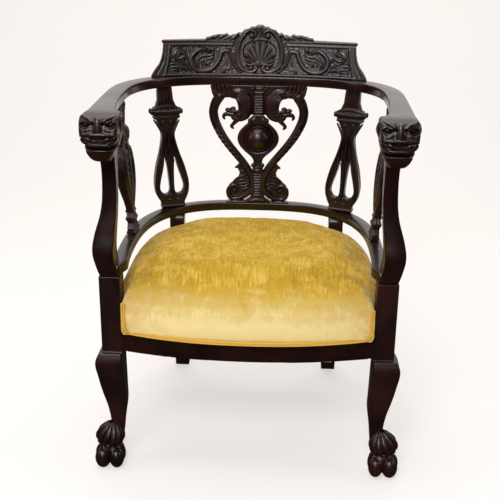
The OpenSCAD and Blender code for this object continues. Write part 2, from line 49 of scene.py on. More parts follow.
setBack = headBox[0].y * 1000 + 50        # where y = 0 lies in the frame, from the heads' fronts
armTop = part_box("right_arm")[1].z * 1000
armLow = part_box("right_arm")[0].z * 1000
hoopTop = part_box("hoop_right")[1].z * 1000
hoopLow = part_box("hoop_right")[0].z * 1000
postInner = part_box("front_leg_right")[0].x * 1000 + 4
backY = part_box("back_rail")[1].y * 1000 - setBack - 20
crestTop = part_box("crest_rail")[1].z * 1000


def linearColour(hexCode):
    # sRGB hex to the linear colour that a socket takes
    def channel(pair):
        c = int(pair, 16) / 255
        return c / 12.92 if c <= 0.04045 else ((c + 0.055) / 1.055) ** 2.4
    return [channel(hexCode[i:i + 2]) for i in (1, 3, 5)] + [1.0]


def addNode(tree, kind, settings=None, links=None, **values):
    # settings are node properties, values are socket defaults, links are socket: other node's output
    node = tree.nodes.new("ShaderNode" + kind)
    for key, value in (settings or {}).items():
        setattr(node, key, value)
    for key, value in values.items():
        node.inputs[key.replace("_", " ")].default_value = value
    for key, output in (links or {}).items():
        tree.links.new(output, node.inputs[key])
    return node


def scaleFor(mm):
    return 1000 / mm                     # texture scale for marks about this many millimetres across


def smoothCurve(points, steps=6):
    # Catmull-Rom through the points, any number of columns
    p = np.asarray(points, float)
    p = np.vstack([2 * p[0] - p[1], p, 2 * p[-1] - p[-2]])
    t = np.linspace(0, 1, steps, endpoint=False)[:, None]
    out = [0.5 * (2 * p[i] + (p[i + 1] - p[i - 1]) * t
                  + (2 * p[i - 1] - 5 * p[i] + 4 * p[i + 1] - p[i + 2]) * t ** 2
                  + (3 * p[i] - p[i - 1] - 3 * p[i + 1] + p[i + 2]) * t ** 3)
           for i in range(1, len(p) - 2)]
    return np.vstack(out + [p[-2:-1]])


def makePiece(name, points, faces, replaces, material=None):
    # from drawn millimetres to a smooth-shaded piece in the frame, standing for the solids it replaces
    mesh = bpy.data.meshes.new(name)
    placed = (np.asarray(points, float) + [0, setBack, 0]) / 1000
    mesh.from_pydata(placed.tolist(), [], [list(map(int, f)) for f in faces])
    mesh.validate()
    work = bmesh.new()
    work.from_mesh(mesh)
    bmesh.ops.remove_doubles(work, verts=work.verts, dist=1e-6)
    bmesh.ops.recalc_face_normals(work, faces=work.faces)
    work.to_mesh(mesh)
    work.free()
    piece = bpy.data.objects.new(name, mesh)
    bpy.context.scene.collection.objects.link(piece)
    for polygon in mesh.polygons:
        polygon.use_smooth = True
    if material:
        mesh.materials.append(material)
    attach(piece, "root")
    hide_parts(*replaces)
    return piece


def flipped(points):
    return np.asarray(points) * [-1, 1, 1]


def ringFaces(rings, n):
    # quads between rings of n points, closed at both ends
    faces = [[i * n + j, i * n + (j + 1) % n, (i + 1) * n + (j + 1) % n, (i + 1) * n + j]
             for i in range(rings - 1) for j in range(n)]
    last = (rings - 1) * n
    return faces + [list(range(n))[::-1], [last + j for j in range(n)]]


# Carving is done in a block of space that holds the distance to the wood's surface: strokes and balls are
# blended on or cut away, as with gouges, and the block is meshed at the end.
def newBlock(low, high, step):
    low = np.array(low, float)
    counts = np.ceil((np.array(high, float) - low) / step).astype(int) + 1
    return {"low": low, "step": step, "field": np.full(counts, 60.0, np.float32)}


def window(block, low, high):
    n = block["field"].shape
    a = [max(0, int(math.floor((low[k] - block["low"][k]) / block["step"]))) for k in range(3)]
    b = [min(n[k], int(math.ceil((high[k] - block["low"][k]) / block["step"])) + 1) for k in range(3)]
    if any(b[k] <= a[k] for k in range(3)):
        return None
    cut = tuple(slice(a[k], b[k]) for k in range(3))
    axes = [(block["low"][k] + block["step"] * np.arange(a[k], b[k])).astype(np.float32) for k in range(3)]
    return cut, axes[0][:, None, None], axes[1][None, :, None], axes[2][None, None, :]


def roundCorner(a, b, radius):
    # two flat sides met by a rounded edge; both distances already count from the radius inwards
    return np.minimum(np.maximum(a, b), 0) + np.sqrt(np.maximum(a, 0) ** 2 + np.maximum(b, 0) ** 2) - radius


def join(block, cut, d, soft, carve=False):
    old = block["field"][cut]
    if carve:                              # smooth subtraction
        h = np.clip(0.5 - 0.5 * (old + d) / soft, 0, 1)
        block["field"][cut] = old * (1 - h) - d * h + soft * h * (1 - h)
    else:                                  # smooth union
        h = np.clip(0.5 + 0.5 * (old - d) / soft, 0, 1)
        block["field"][cut] = old * (1 - h) + d * h - soft * h * (1 - h)


def ball(block, centre, radii, soft=1.0, carve=False):
    c = np.array(centre, float)
    r = np.full(3, radii, float) if np.isscalar(radii) else np.array(radii, float)
    w = window(block, c - r - soft - 3, c + r + soft + 3)
    if w is None:
        return
    cut, x, y, z = w
    k0 = np.sqrt(((x - c[0]) / r[0]) ** 2 + ((y - c[1]) / r[1]) ** 2 + ((z - c[2]) / r[2]) ** 2)
    k1 = np.sqrt(((x - c[0]) / r[0] ** 2) ** 2 + ((y - c[1]) / r[1] ** 2) ** 2
                 + ((z - c[2]) / r[2] ** 2) ** 2)
    join(block, cut, k0 * (k0 - 1) / np.maximum(k1, 1e-6), soft, carve)


def stroke(block, points, radii, soft=1.0, carve=False, flat=1.0, steps=5, level=None):
    # a round strand along a smooth curve; flat squashes it in y about its own middle
    p = np.asarray(points, float)
    if p.shape[1] == 2:                    # drawn on the face: x, z with y from level
        p = np.column_stack([p[:, 0], np.full(len(p), 0.0 if level is None else level), p[:, 1]])
    r = np.interp(np.linspace(0, 1, len(p)), np.linspace(0, 1, len(np.atleast_1d(radii))),
                  np.atleast_1d(radii).astype(float))
    path = smoothCurve(np.column_stack([p, r]), steps) if len(p) > 2 else np.column_stack([p, r])
    for a, b in zip(path[:-1], path[1:]):
        big = max(a[3], b[3]) + soft + 2
        w = window(block, np.minimum(a[:3], b[:3]) - big, np.maximum(a[:3], b[:3]) + big)
        if w is None:
            continue
        cut, x, y, z = w
        ax = np.array([a[0], a[1] / flat, a[2]])
        d = np.array([b[0], b[1] / flat, b[2]]) - ax
        px, py, pz = x - ax[0], y / flat - ax[1], z - ax[2]
        t = np.clip((px * d[0] + py * d[1] + pz * d[2]) / max(float(d @ d), 1e-9), 0, 1)
        dist = np.sqrt((px - t * d[0]) ** 2 + (py - t * d[1]) ** 2 + (pz - t * d[2]) ** 2)
        join(block, cut, (dist - (a[3] + t * (b[3] - a[3]))) * min(1.0, flat + 0.3), soft, carve)


def outlineDistance(points, x, z):
    # signed distance to a closed outline on the x, z grid, negative inside
    p = np.asarray(points, float)
    q = np.roll(p, -1, axis=0)
    best = np.full(np.broadcast(x, z).shape, 1e9)
    inside = np.zeros(best.shape, bool)
    for (ax, az), (bx, bz) in zip(p, q):
        dx, dz = bx - ax, bz - az
        t = np.clip(((x - ax) * dx + (z - az) * dz) / max(dx * dx + dz * dz, 1e-9), 0, 1)
        best = np.minimum(best, (x - ax - t * dx) ** 2 + (z - az - t * dz) ** 2)
        if az != bz:
            inside ^= ((az > z) != (bz > z)) & (x < (bx - ax) * (z - az) / (bz - az) + ax)
    return np.where(inside, -1, 1) * np.sqrt(best)


def slab(block, outline, near, far, rounding=1.5, soft=0.5, carve=False):
    p = np.asarray(outline, float)
    w = window(block, [p[:, 0].min() - 4, near - 4, p[:, 1].min() - 4],
               [p[:, 0].max() + 4, far + 4, p[:, 1].max() + 4])
    if w is None:
        return
    cut, x, y, z = w
    side = outlineDistance(p, x[:, :, 0], z[0, :, :])[:, None, :] + rounding
    deep = np.abs(y - (near + far) / 2) - (far - near) / 2 + rounding
    join(block, cut, roundCorner(side, deep, rounding).astype(np.float32), soft, carve)


def roughen(block, inner, outer, depth, scale, seed=3):
    # a stippled ground: small pits between two depths below the face
    rng = np.random.default_rng(seed)
    n = block["field"].shape
    coarse = rng.random((int(n[0] * block["step"] / scale) + 2, int(n[2] * block["step"] / scale) + 2))
    ix = np.linspace(0, coarse.shape[0] - 1.001, n[0])
    iz = np.linspace(0, coarse.shape[1] - 1.001, n[2])
    a, b = ix.astype(int), iz.astype(int)
    fx, fz = (ix - a)[:, None], (iz - b)[None, :]
    value = (coarse[a][:, b] * (1 - fx) * (1 - fz) + coarse[a + 1][:, b] * fx * (1 - fz)
             + coarse[a][:, b + 1] * (1 - fx) * fz + coarse[a + 1][:, b + 1] * fx * fz)
    y = block["low"][1] + block["step"] * np.arange(n[1])
    band = np.exp(-((y - (inner + outer) / 2) / ((outer - inner) / 2)) ** 2)
    block["field"] += (depth * (value[:, None, :] - 0.3) * band[None, :, None]).astype(np.float32)


def blockMesh(block, mirror=False):
    field, low = block["field"], block["low"]
    if mirror:                             # the block starts on x = 0
        field = np.concatenate([field[:0:-1], field])
        low = low - [block["step"] * (block["field"].shape[0] - 1), 0, 0]
    field = np.pad(field, 1, constant_values=60.0)
    grid = openvdb.FloatGrid()
    grid.copyFromArray(np.ascontiguousarray(field, np.float32))
    points, quads = grid.convertToQuads(isovalue=0.0)
    return (points - 1) * block["step"] + low, quads[:, ::-1]


# materials
def newMaterial(name):
    material = bpy.data.materials.new(name)
    material.use_nodes = True
    tree = material.node_tree
    tree.nodes.clear()
    shader = addNode(tree, "BsdfPrincipled")
    addNode(tree, "OutputMaterial", links={"Surface": shader.outputs[0]})
    return material, tree, shader


def ebonisedMahogany(name, look):
    # mahogany stained almost black, then French polished by hand: a soft gloss over close grain, red-brown where
    # the stain is thin; shellac and wood both bend light at about 1.5
    material, tree, shader = newMaterial(name)
    place = addNode(tree, "TexCoord")
    grain = addNode(tree, "Mapping", links={"Vector": place.outputs["Object"]}, Scale=look["grainScale"])
    streaks = addNode(tree, "TexNoise", links={"Vector": grain.outputs[0]}, Scale=scaleFor(look["streakMm"]),
                      Detail=6.0, Roughness=0.6)
    patches = addNode(tree, "TexNoise", links={"Vector": place.outputs["Object"]}, Scale=scaleFor(look["patchMm"]),
                      Detail=3.0)
    stain = addNode(tree, "ValToRGB", links={"Fac": streaks.outputs["Fac"]})
    stain.color_ramp.elements[0].position = 0.35
    stain.color_ramp.elements[0].color = linearColour(look["dark"])
    stain.color_ramp.elements[1].position = 0.72
    stain.color_ramp.elements[1].color = linearColour(look["brown"])
    thin = addNode(tree, "MapRange", links={"Value": patches.outputs["Fac"]}, From_Min=0.45, From_Max=0.7,
                   To_Max=look["thin"])
    colour = addNode(tree, "MixRGB", {"blend_type": "MIX"}, {"Fac": thin.outputs[0], "Color1": stain.outputs[0]},
                     Color2=linearColour(look["worn"]))
    rough = addNode(tree, "MapRange", links={"Value": patches.outputs["Fac"]}, To_Min=look["rough"] - 0.07,
                    To_Max=look["rough"] + 0.1)
    pores = addNode(tree, "Bump", links={"Height": streaks.outputs["Fac"]}, Strength=look["pores"],
                    Distance=0.0004)
    tree.links.new(colour.outputs[0], shader.inputs["Base Color"])
    tree.links.new(rough.outputs[0], shader.inputs["Roughness"])
    tree.links.new(pores.outputs[0], shader.inputs["Normal"])
    shader.inputs["IOR"].default_value = 1.5
    shader.inputs["Specular IOR Level"].default_value = 0.42
    shader.inputs["Coat Weight"].default_value = look["polish"]
    shader.inputs["Coat Roughness"].default_value = 0.16
    return material


# the streaks' finest octave is about 2 mm across, the grain; patches are where the stain took unevenly
carvedLook = {"grainScale": (1.0, 1.0, 0.12), "streakMm": 111.0, "patchMm": 71.4, "dark": "#0a0403",
              "brown": "#210a06", "worn": "#3d140b", "thin": 0.4, "rough": 0.36, "pores": 0.2, "polish": 0.25}
railLook = dict(carvedLook, grainScale=(1.0, 0.12, 1.0), rough=0.27, thin=0.3)
carvedWood = ebonisedMahogany("ebonisedMahoganyCarved", carvedLook)
railWood = ebonisedMahogany("ebonisedMahoganyRail", railLook)


def wovenCloth(name, hexCode, threadMm):
    # plain weave of matt spun yarn: two crossing sets of threads, their spacing as given
    material, tree, shader = newMaterial(name)
    place = addNode(tree, "TexCoord")
    scale = 1000 / threadMm / 20                       # one wave band takes 1/20 of a unit at scale 1
    bands = [addNode(tree, "TexWave", {"wave_type": "BANDS", "bands_direction": way},
                     {"Vector": place.outputs["Object"]}, Scale=scale, Distortion=0.6) for way in ("X", "Y")]
    weave = addNode(tree, "Math", {"operation": "MAXIMUM"},
                    {0: bands[0].outputs["Fac"], 1: bands[1].outputs["Fac"]})
    # soiled patches
    yarn = addNode(tree, "TexNoise", links={"Vector": place.outputs["Object"]}, Scale=scaleFor(22.2), Detail=5.0)
    shade = addNode(tree, "MapRange", links={"Value": yarn.outputs["Fac"]}, To_Min=0.3, To_Max=0.8)
    tint = addNode(tree, "MixRGB", {"blend_type": "MULTIPLY"},
                   {"Fac": shade.outputs[0], "Color2": weave.outputs[0]}, Color1=linearColour(hexCode))
    bump = addNode(tree, "Bump", links={"Height": weave.outputs[0]}, Strength=0.5, Distance=0.0005)
    tree.links.new(tint.outputs[0], shader.inputs["Base Color"])
    tree.links.new(bump.outputs[0], shader.inputs["Normal"])
    shader.inputs["Roughness"].default_value = 0.95
    return material


def sawnBeech(name, look):
    # bare beech straight from the saw: pale, matt, short dark flecks along the grain
    material, tree, shader = newMaterial(name)
    place = addNode(tree, "TexCoord")
    along = addNode(tree, "Mapping", links={"Vector": place.outputs["Object"]}, Scale=look["grainScale"])
    fleck = addNode(tree, "TexNoise", links={"Vector": along.outputs[0]}, Scale=scaleFor(look["fleckMm"]),
                    Detail=5.0, Roughness=0.65)
    tone = addNode(tree, "ValToRGB", links={"Fac": fleck.outputs["Fac"]})
    tone.color_ramp.elements[0].position, tone.color_ramp.elements[1].position = 0.35, 0.65
    tone.color_ramp.elements[0].color = linearColour(look["fleckColour"])
    tone.color_ramp.elements[1].color = linearColour(look["wood"])
    bump = addNode(tree, "Bump", links={"Height": fleck.outputs["Fac"]}, Strength=0.3, Distance=0.0004)
    tree.links.new(tone.outputs[0], shader.inputs["Base Color"])
    tree.links.new(bump.outputs[0], shader.inputs["Normal"])
    shader.inputs["Roughness"].default_value = look["rough"]
    return material


def darkSteel(name, look):
    # drawn or turned steel gone dark: bare metal under patchy oxide
    material, tree, shader = newMaterial(name)
    place = addNode(tree, "TexCoord")
    oxide = addNode(tree, "TexNoise", links={"Vector": place.outputs["Object"]}, Scale=scaleFor(7.0), Detail=6.0,
                    Roughness=0.7)
    tone = addNode(tree, "ValToRGB", links={"Fac": oxide.outputs["Fac"]})
    tone.color_ramp.elements[0].position, tone.color_ramp.elements[1].position = 0.4, 0.62
    tone.color_ramp.elements[0].color = linearColour(look["oxide"])
    tone.color_ramp.elements[1].color = linearColour(look["steel"])
    rough = addNode(tree, "MapRange", links={"Value": oxide.outputs["Fac"]}, To_Min=0.55, To_Max=0.3)
    tree.links.new(tone.outputs[0], shader.inputs["Base Color"])
    tree.links.new(rough.outputs[0], shader.inputs["Roughness"])
    shader.inputs["Metallic"].default_value = 1.0
    return material


beechLook = {"grainScale": (1.0, 0.15, 1.0), "fleckMm": 3.8, "fleckColour": "#96683c", "wood": "#c79c69",
             "rough": 0.7}
dowelLook = dict(beechLook, grainScale=(1.0, 1.0, 0.15), fleckMm=2.5, wood="#cfa873", rough=0.6)
hiddenLooks = {"seat_webbing": wovenCloth("juteWebbing", "#b19a6c", 2.5),
               "spring_hessian": wovenCloth("juteHessian", "#a88d60", 2.0),
               "seat_stuffing": wovenCloth("calicoOverHair", "#bfae8c", 1.2),
               "dust_cover": wovenCloth("blackCambric", "#17161a", 1.0),
               "corner_blocks": sawnBeech("sawnBeech", beechLook),
               "post_dowels": sawnBeech("turnedBeech", dowelLook),
               "arm_dowels": sawnBeech("turnedBeechSmall", dowelLook),
               "seat_springs": darkSteel("drawnSpringWire", {"oxide": "#33312f", "steel": "#77787a"}),
               "corner_block_screws": darkSteel("blackenedScrewSteel", {"oxide": "#2b2a29", "steel": "#8b8b88"})}
for nodeName, look in hiddenLooks.items():
    nodes[nodeName].data.materials.clear()
    nodes[nodeName].data.materials.append(look)
print("frame and materials ready")


# bent rails
def sweepBar(path, width, height, radius, topZ, corner=4):
    # a flat bar with rounded edges carried along a level path
    path = np.asarray(path, float)
    tangent = np.gradient(path, axis=0)
    tangent /= np.linalg.norm(tangent, axis=1)[:, None]
    side = np.column_stack([tangent[:, 1], -tangent[:, 0]])
    section = []
    for cx, cz, start in ((1, 1, 0), (-1, 1, 90), (-1, -1, 180), (1, -1, 270)):
        for k in range(corner + 1):
            a = math.radians(start + 90 * k / corner)
            section.append((cx, cz, math.cos(a), math.sin(a)))
    rings = []
    for p, s, w in zip(path, side, width):
        rings.append([[*(p + s * (cx * (w / 2 - radius) + ca * radius)),
                       topZ - height / 2 + cz * (height / 2 - radius) + sa * radius]
                      for cx, cz, ca, sa in section])
    return np.array(rings).reshape(-1, 3), ringFaces(len(path), len(section))


def bendPower(v, n):
    return math.copysign(abs(v) ** (2 / n), v)


def horseshoe(half, midY, deep, n, front):
    right = list(front)
    for k in range(0, 61):
        a = math.radians(90 * k / 60)
        right.append((half * bendPower(math.cos(a), n), midY + deep * bendPower(math.sin(a), n)))
    right = np.array(right)
    return np.vstack([right, (right[:-1] * [-1, 1])[::-1]])


armRail = {"half": 283, "midY": 240, "frontX": 268, "startY": 8, "exponent": 2.5, "width": 38, "flare": 20,
           "backWidth": 40, "edge": 3.6}


def armX(y):
    # the arm rail's middle line ahead of its bend
    return armRail["half"] - (armRail["half"] - armRail["frontX"]) * ((armRail["midY"] - y) / armRail["midY"]) ** 2


front = [(armX(y), y) for y in np.linspace(armRail["startY"], armRail["midY"] - 6, 24)]
armPath = horseshoe(armRail["half"], armRail["midY"], backY - armRail["midY"], armRail["exponent"], front)
armWidth = [armRail["width"] + (armRail["flare"] * ((armRail["midY"] - y) / armRail["midY"]) ** 2.5
            if y < armRail["midY"] else (armRail["backWidth"] - armRail["width"]) * (y - armRail["midY"])
            / (backY - armRail["midY"])) for x, y in armPath]
points, faces = sweepBar(armPath, armWidth, armTop - armLow, armRail["edge"], armTop)
makePiece("armAndBackRail", points, faces, ("left_arm", "right_arm", "back_rail"), material=railWood)

hoop = {"half": 256, "midY": 150, "exponent": 2.77, "startY": 46, "tipY": 13, "width": 26, "tipWidth": 7,
        "drawIn": 8, "tipOut": 3.2, "edge": 3.0}


def hoopFront(y):
    # the ends run out thin against the inner faces of the arm posts
    run = max(0.0, (hoop["startY"] - y) / (hoop["startY"] - hoop["tipY"]))
    x = hoop["half"] - hoop["drawIn"] * ((hoop["midY"] - max(y, hoop["startY"])) / 110) ** 2 + hoop["tipOut"] * run
    return x, hoop["width"] - (hoop["width"] - hoop["tipWidth"]) * run ** 1.4


front = [(hoopFront(y)[0], y) for y in np.linspace(hoop["tipY"], hoop["midY"] - 6, 24)]
hoopPath = horseshoe(hoop["half"], hoop["midY"], backY - 4 - hoop["midY"], hoop["exponent"], front)
hoopWidth = [hoopFront(y)[1] for x, y in hoopPath]
points, faces = sweepBar(hoopPath, hoopWidth, hoopTop - hoopLow, hoop["edge"], hoopTop)
makePiece("lowerHoop", points, faces, ("hoop_left", "hoop_right", "hoop_back"), material=railWood)
print("rails swept")


# crest board, drawn flat: x from the middle, y into the wood from the face, z up from the arm rail
crestShape = {"rise": crestTop - armTop, "radius": backY - 20 + 323, "middle": -323, "thick": 22, "lean": 22,
              "ground": 6.8, "relief": 4.2, "step": 0.9}
crestEdge = np.array([(0, 0), (238, 0), (237, 4), (234, 10), (228, 19), (221, 28), (216.5, 40), (214, 52),
                      (213, 64), (213, 71), (215, 72.5), (215, 77), (121, 78), (119, 83), (110, 82), (104, 87),
                      (97, 84), (90, 89), (82, 86), (75, 91), (67, 84.5), (60, 89), (54, 87), (49, 93),
                      (41, 91), (35, 99), (27, 98), (20, 105), (11, 105), (6, 109), (0, 109)], float)
crest = newBlock((0, -7, -2), (241.9, 25, 112), crestShape["step"])
slab(crest, np.vstack([crestEdge, [(-6, 109), (-6, 0)]]), 0, crestShape["thick"], 1.6)
ground = [(-6, 6), (206, 6), (203.5, 16), (200, 30), (198, 44), (197, 56), (196.5, 65.5), (60, 65.5),
          (52, 84), (42, 88), (36, 94), (22, 98), (10, 103), (-6, 103)]
slab(crest, ground, -8, crestShape["ground"], 1.0, 0.8, True)
roughen(crest, 5.0, 8.6, 0.9, 2.4)
# mouldings along the top, the bottom and the ends
stroke(crest, [(52, 71.5), (90, 71.5), (140, 71.5), (214, 71.5)], [1.5], 0.8, True, level=-0.3)
stroke(crest, [(120, 76), (214, 76)], [2.2], 0.8, level=1.2)
stroke(crest, [(0, 3.2), (120, 3.2), (210, 3.2)], [1.9], 0.8, level=1.0)
stroke(crest, [(224, 6), (217, 20), (210.5, 34), (208.5, 50), (208, 64)], [0.9], 0.6, True, level=-0.2)
stroke(crest, [(207, 6), (203.5, 20), (200.5, 34), (198.7, 50), (197.5, 64)], [1.8], 0.8, level=1.0)
level = crestShape["relief"]


def bandStroke(block, points, radius, groove, level, lift=0.8):
    # a raised ribbon with a line sunk along its middle
    stroke(block, points, radius, 0.7, flat=lift, level=level)
    stroke(block, points, groove, 0.5, True, level=level - np.atleast_1d(radius)[0] * lift * 0.95)


# running scroll with its leaf
scrollLine = [(110, 47), (117.5, 54), (132.5, 56.5), (146.6, 46.4), (151.7, 33.5), (146.6, 19.8), (134.4, 11.6),
              (117.5, 11.2), (102.5, 18), (91.2, 31.8), (86.4, 43.9), (83.6, 51.5), (74.3, 54), (67.6, 51.5),
              (63.9, 38.7), (57.3, 25), (45, 13.8), (31, 8), (18, 8.4)]
bandStroke(crest, scrollLine, [3.2, 4.9, 5.2, 5.2, 5.2, 5.2, 5.2, 5.0, 5.0, 4.8, 4.6, 4.4, 4.8], [1.2], level)
for line, width in (([(104, 46), (112, 44), (122, 44), (133, 40), (140, 31), (136, 22)], [3.4, 3.2, 2.6, 2.0]),
                    ([(104, 40), (112, 37), (122, 36), (129, 31), (128, 24)], [3.0, 2.6, 1.8]),
                    ([(108, 32), (112, 30), (117, 24)], [2.2, 1.6])):
    stroke(crest, line, width, 0.6, flat=0.8, level=level)
ball(crest, (119, level - 0.4, 29), (3.0, 2.4, 7.5), 0.6)
ball(crest, (104.3, 2.2, 57.2), 5.2, 0.6)
ball(crest, (80.4, 2.4, 10.2), 4.6, 0.6)
stroke(crest, [(80, 13), (72, 14), (59, 15.5)], [2.8, 2.2, 1.0], 0.6, flat=0.8, level=level)
stroke(crest, [(74.6, 44), (71.5, 32), (74, 20)], [0.6, 1.8, 1.2], 0.5, flat=0.8, level=level + 0.4)
# corner: comma scroll, its stem and three long leaves
ball(crest, (181, level, 50), (12.5, 5.4, 12.5), 1.5)
stroke(crest, [(173, 56), (181, 61), (189.5, 56), (191, 47), (185, 39), (176, 38), (168, 42)],
       [2.2, 3.0, 3.2, 3.2, 3.2, 3.0, 3.6], 0.8, level=level - 1.2)
ball(crest, (186, 0.8, 47), (3.6, 2.8, 3.6), 0.8)
stroke(crest, [(178, 53), (182, 50), (181, 45), (175, 45)], [1.4], 0.8, True, level=-0.6)
stroke(crest, [(168, 42), (160, 38), (156, 30)], [3.6, 2.8, 1.6], 0.8, flat=0.8, level=level)
for line, width in (([(200, 26), (188, 27.5), (176, 25), (164, 18), (152, 12)], [1.2, 3.0, 3.4, 3.0, 1.4]),
                    ([(198, 19), (186, 20.5), (174, 18), (162, 13)], [1.2, 2.8, 3.0, 1.2]),
                    ([(196, 33), (184, 35), (172, 31), (162, 24), (156, 16)], [1.0, 2.8, 3.0, 2.4, 1.2]),
                    ([(199, 12.5), (188, 14), (176, 12)], [1.0, 2.2, 1.0])):
    stroke(crest, line, width, 0.7, flat=0.85, level=level)
    stroke(crest, [(a, b + 0.3) for a, b in line[1:-1]] if len(line) > 3 else line, [0.7], 0.5, True,
           level=level - 2.8)
# cartouche: the big C scroll, its balls and the shell
cartouche = [(13, 84), (8.6, 90), (14, 97), (24, 97), (34, 91), (42.5, 80), (48.6, 63), (50, 45), (46.5, 27),
             (37, 15.5), (24, 9.5), (11.5, 11), (6.6, 17.5), (11, 22)]
stroke(crest, cartouche, [2.0, 3.2, 4.4, 5.2, 6.2, 6.4, 6.4, 6.4, 6.0, 5.4, 5.0, 4.4, 3.4, 2.4], 0.7, flat=0.72,
       level=level - 0.6)
stroke(crest, cartouche[3:11], [1.2, 1.6, 1.6, 1.2], 0.5, True, level=-1.6)
ball(crest, (17.9, 0.2, 86.5), 5.8, 0.6)
ball(crest, (18.5, 1.0, 17), (6.5, 3.6, 4.6), 1.0)
slab(crest, [(-6, 26), (10, 24), (24, 30), (36, 42), (38, 56), (30, 68), (16, 75), (-6, 78)], -6, 10.5, 2.0, 1.0,
     True)
for angle, length in ((0, 46), (18, 45), (36, 41), (54, 36), (73, 30), (92, 25)):      # rays of the shell
    a = math.radians(angle)
    tip = (math.sin(a) * length, 24 + math.cos(a) * length)
    mid = (math.sin(a) * length * 0.55, 24 + math.cos(a) * length * 0.55)
    stroke(crest, [(1.5 * math.sin(a), 26), mid, tip], [1.0, 2.2, 4.1], 0.3, level=6.6)
ball(crest, (0, 2.6, 25), (4.6, 4.4, 6.5), 0.6)
stroke(crest, [(2, 26), (12, 26), (22, 24), (31, 28)], [2.2, 2.4, 1.4], 0.6, level=3.6)
stroke(crest, [(-4, 80), (8, 79), (14, 74)], [1.6, 2.4, 2.0], 0.6, level=1.6)
# leaves along the top
stroke(crest, [(0, 80), (0, 92), (0, 103)], [2.0, 2.6, 3.8], 0.5, flat=0.9, level=1.5)
stroke(crest, [(4, 92), (7, 99), (12, 103)], [1.5, 2.2, 2.6], 0.5, flat=0.9, level=1.2)
stroke(crest, [(24, 99), (33, 93), (44, 88)], [3.2, 3.0, 1.4], 0.6, flat=0.8, level=1.4)
for line in ([(117, 80), (108, 83), (100, 85)], [(104, 80), (96, 86), (88, 87)], [(92, 80), (84, 86), (74, 88)],
             [(78, 80), (70, 83), (58, 87)], [(66, 78), (58, 83), (50, 90)]):
    stroke(crest, line, [1.8, 3.2, 2.4], 0.5, flat=0.8, level=0.6)
# bent to the back rail and leaned back
points, faces = blockMesh(crest, mirror=True)
radius = crestShape["radius"] + crestShape["lean"] * points[:, 2] / crestShape["rise"] + points[:, 1]
points = np.column_stack([points[:, 0], crestShape["middle"] + np.sqrt(radius ** 2 - points[:, 0] ** 2),
                          armTop + points[:, 2]])
makePiece("carvedCrest", points, faces, ("crest_rail",), material=carvedWood)
print("crest carved", len(faces))

# middle splat: a heart of two long arms round a ball, with a beaked head each side
splat = newBlock((0, 414, 431), (118, 462, 711), 1.0)
mid = backY - 12.0                         # middle of the board's thickness, front to back
face = mid - 9
slab(splat, [(-6, 433), (74, 433), (72, 436.5), (30, 438), (17, 447), (12, 470), (13, 500), (12, 520), (8, 530),
             (6, 545), (-6, 545)], face + 1, mid + 9, 2.0)
slab(splat, [(-6, 640), (11, 640), (10.5, 690), (30, 690), (60, 682), (78, 680), (92, 676), (98, 686), (104, 697),
             (105, 710), (-6, 710)], face + 2, mid + 9, 2.0)
slab(splat, [(-6, 641), (40, 641), (34, 655), (36, 672), (46, 684), (60, 690), (60, 710), (-6, 710)], face + 9,
     mid + 8, 1.5)
# pear-shaped plate, dished round the ball
pear = [(-6, 640), (6, 637), (13, 628), (24, 622), (36, 610), (43, 598), (45.5, 586), (41, 573), (30, 560),
        (16, 548),
        (9, 538), (8, 526), (-6, 526)]
slab(splat, pear, face + 1, mid + 9, 2.5)
ball(splat, (0, face - 3, 588), (37, 14, 36), 1.5, True)
stroke(splat, [(3, 636), (12, 628), (24, 620), (36, 608), (42.5, 597), (44, 586), (40, 574), (29, 561), (15, 549),
               (8, 539), (7, 527)], [3.0, 3.0, 3.4, 3.4, 3.4, 3.2, 3.0], 1.0, level=face + 2.5)
ball(splat, (0, mid - 3, 587), (28, 26, 28), 0.8)
# long arms of the heart, rolled over at the foot
armLine = [(88, 684), (97, 670), (102, 656), (103, 644), (100, 628), (93, 611), (81.5, 590), (65, 567),
           (48, 546.5), (35, 531),
           (24, 516), (16, 500), (12.5, 483), (15.5, 465), (27, 452), (43, 443.5), (57, 441.5), (66.5, 449),
           (68, 463), (60, 473), (51.5, 473), (47, 465.5), (51, 459.5), (56, 462)]
stroke(splat, armLine, [11.5, 11.0, 10.5, 10.5, 10.5, 10.2, 9.8, 9.3, 9.0, 8.6, 8.2, 8.0, 7.6, 7.4, 7.0, 6.6, 6.2,
                        5.8, 5.4,
                        4.8, 4.2, 3.6, 3.2, 2.6], 0.5, flat=0.9, level=mid - 1)
for k in range(9):                       # slanting cuts along the arm
    t = 4.35 + k * 0.46
    i = int(t)
    a = np.array(armLine[i]) + (np.array(armLine[i + 1]) - armLine[i]) * (t - i)
    d = np.array(armLine[i + 1], float) - armLine[i]
    d /= np.linalg.norm(d)
    out = np.array([-d[1], d[0]])
    start, end = a + out * 10.5 - d * 2, a - out * 1.0 + d * 13
    stroke(splat, [(start[0], mid - 4, start[1]), ((start[0] + end[0]) / 2, face + 0.4, (start[1] + end[1]) / 2),
                   (end[0], face - 1.2, end[1])], [3.6, 3.0, 1.2], 0.4, True)
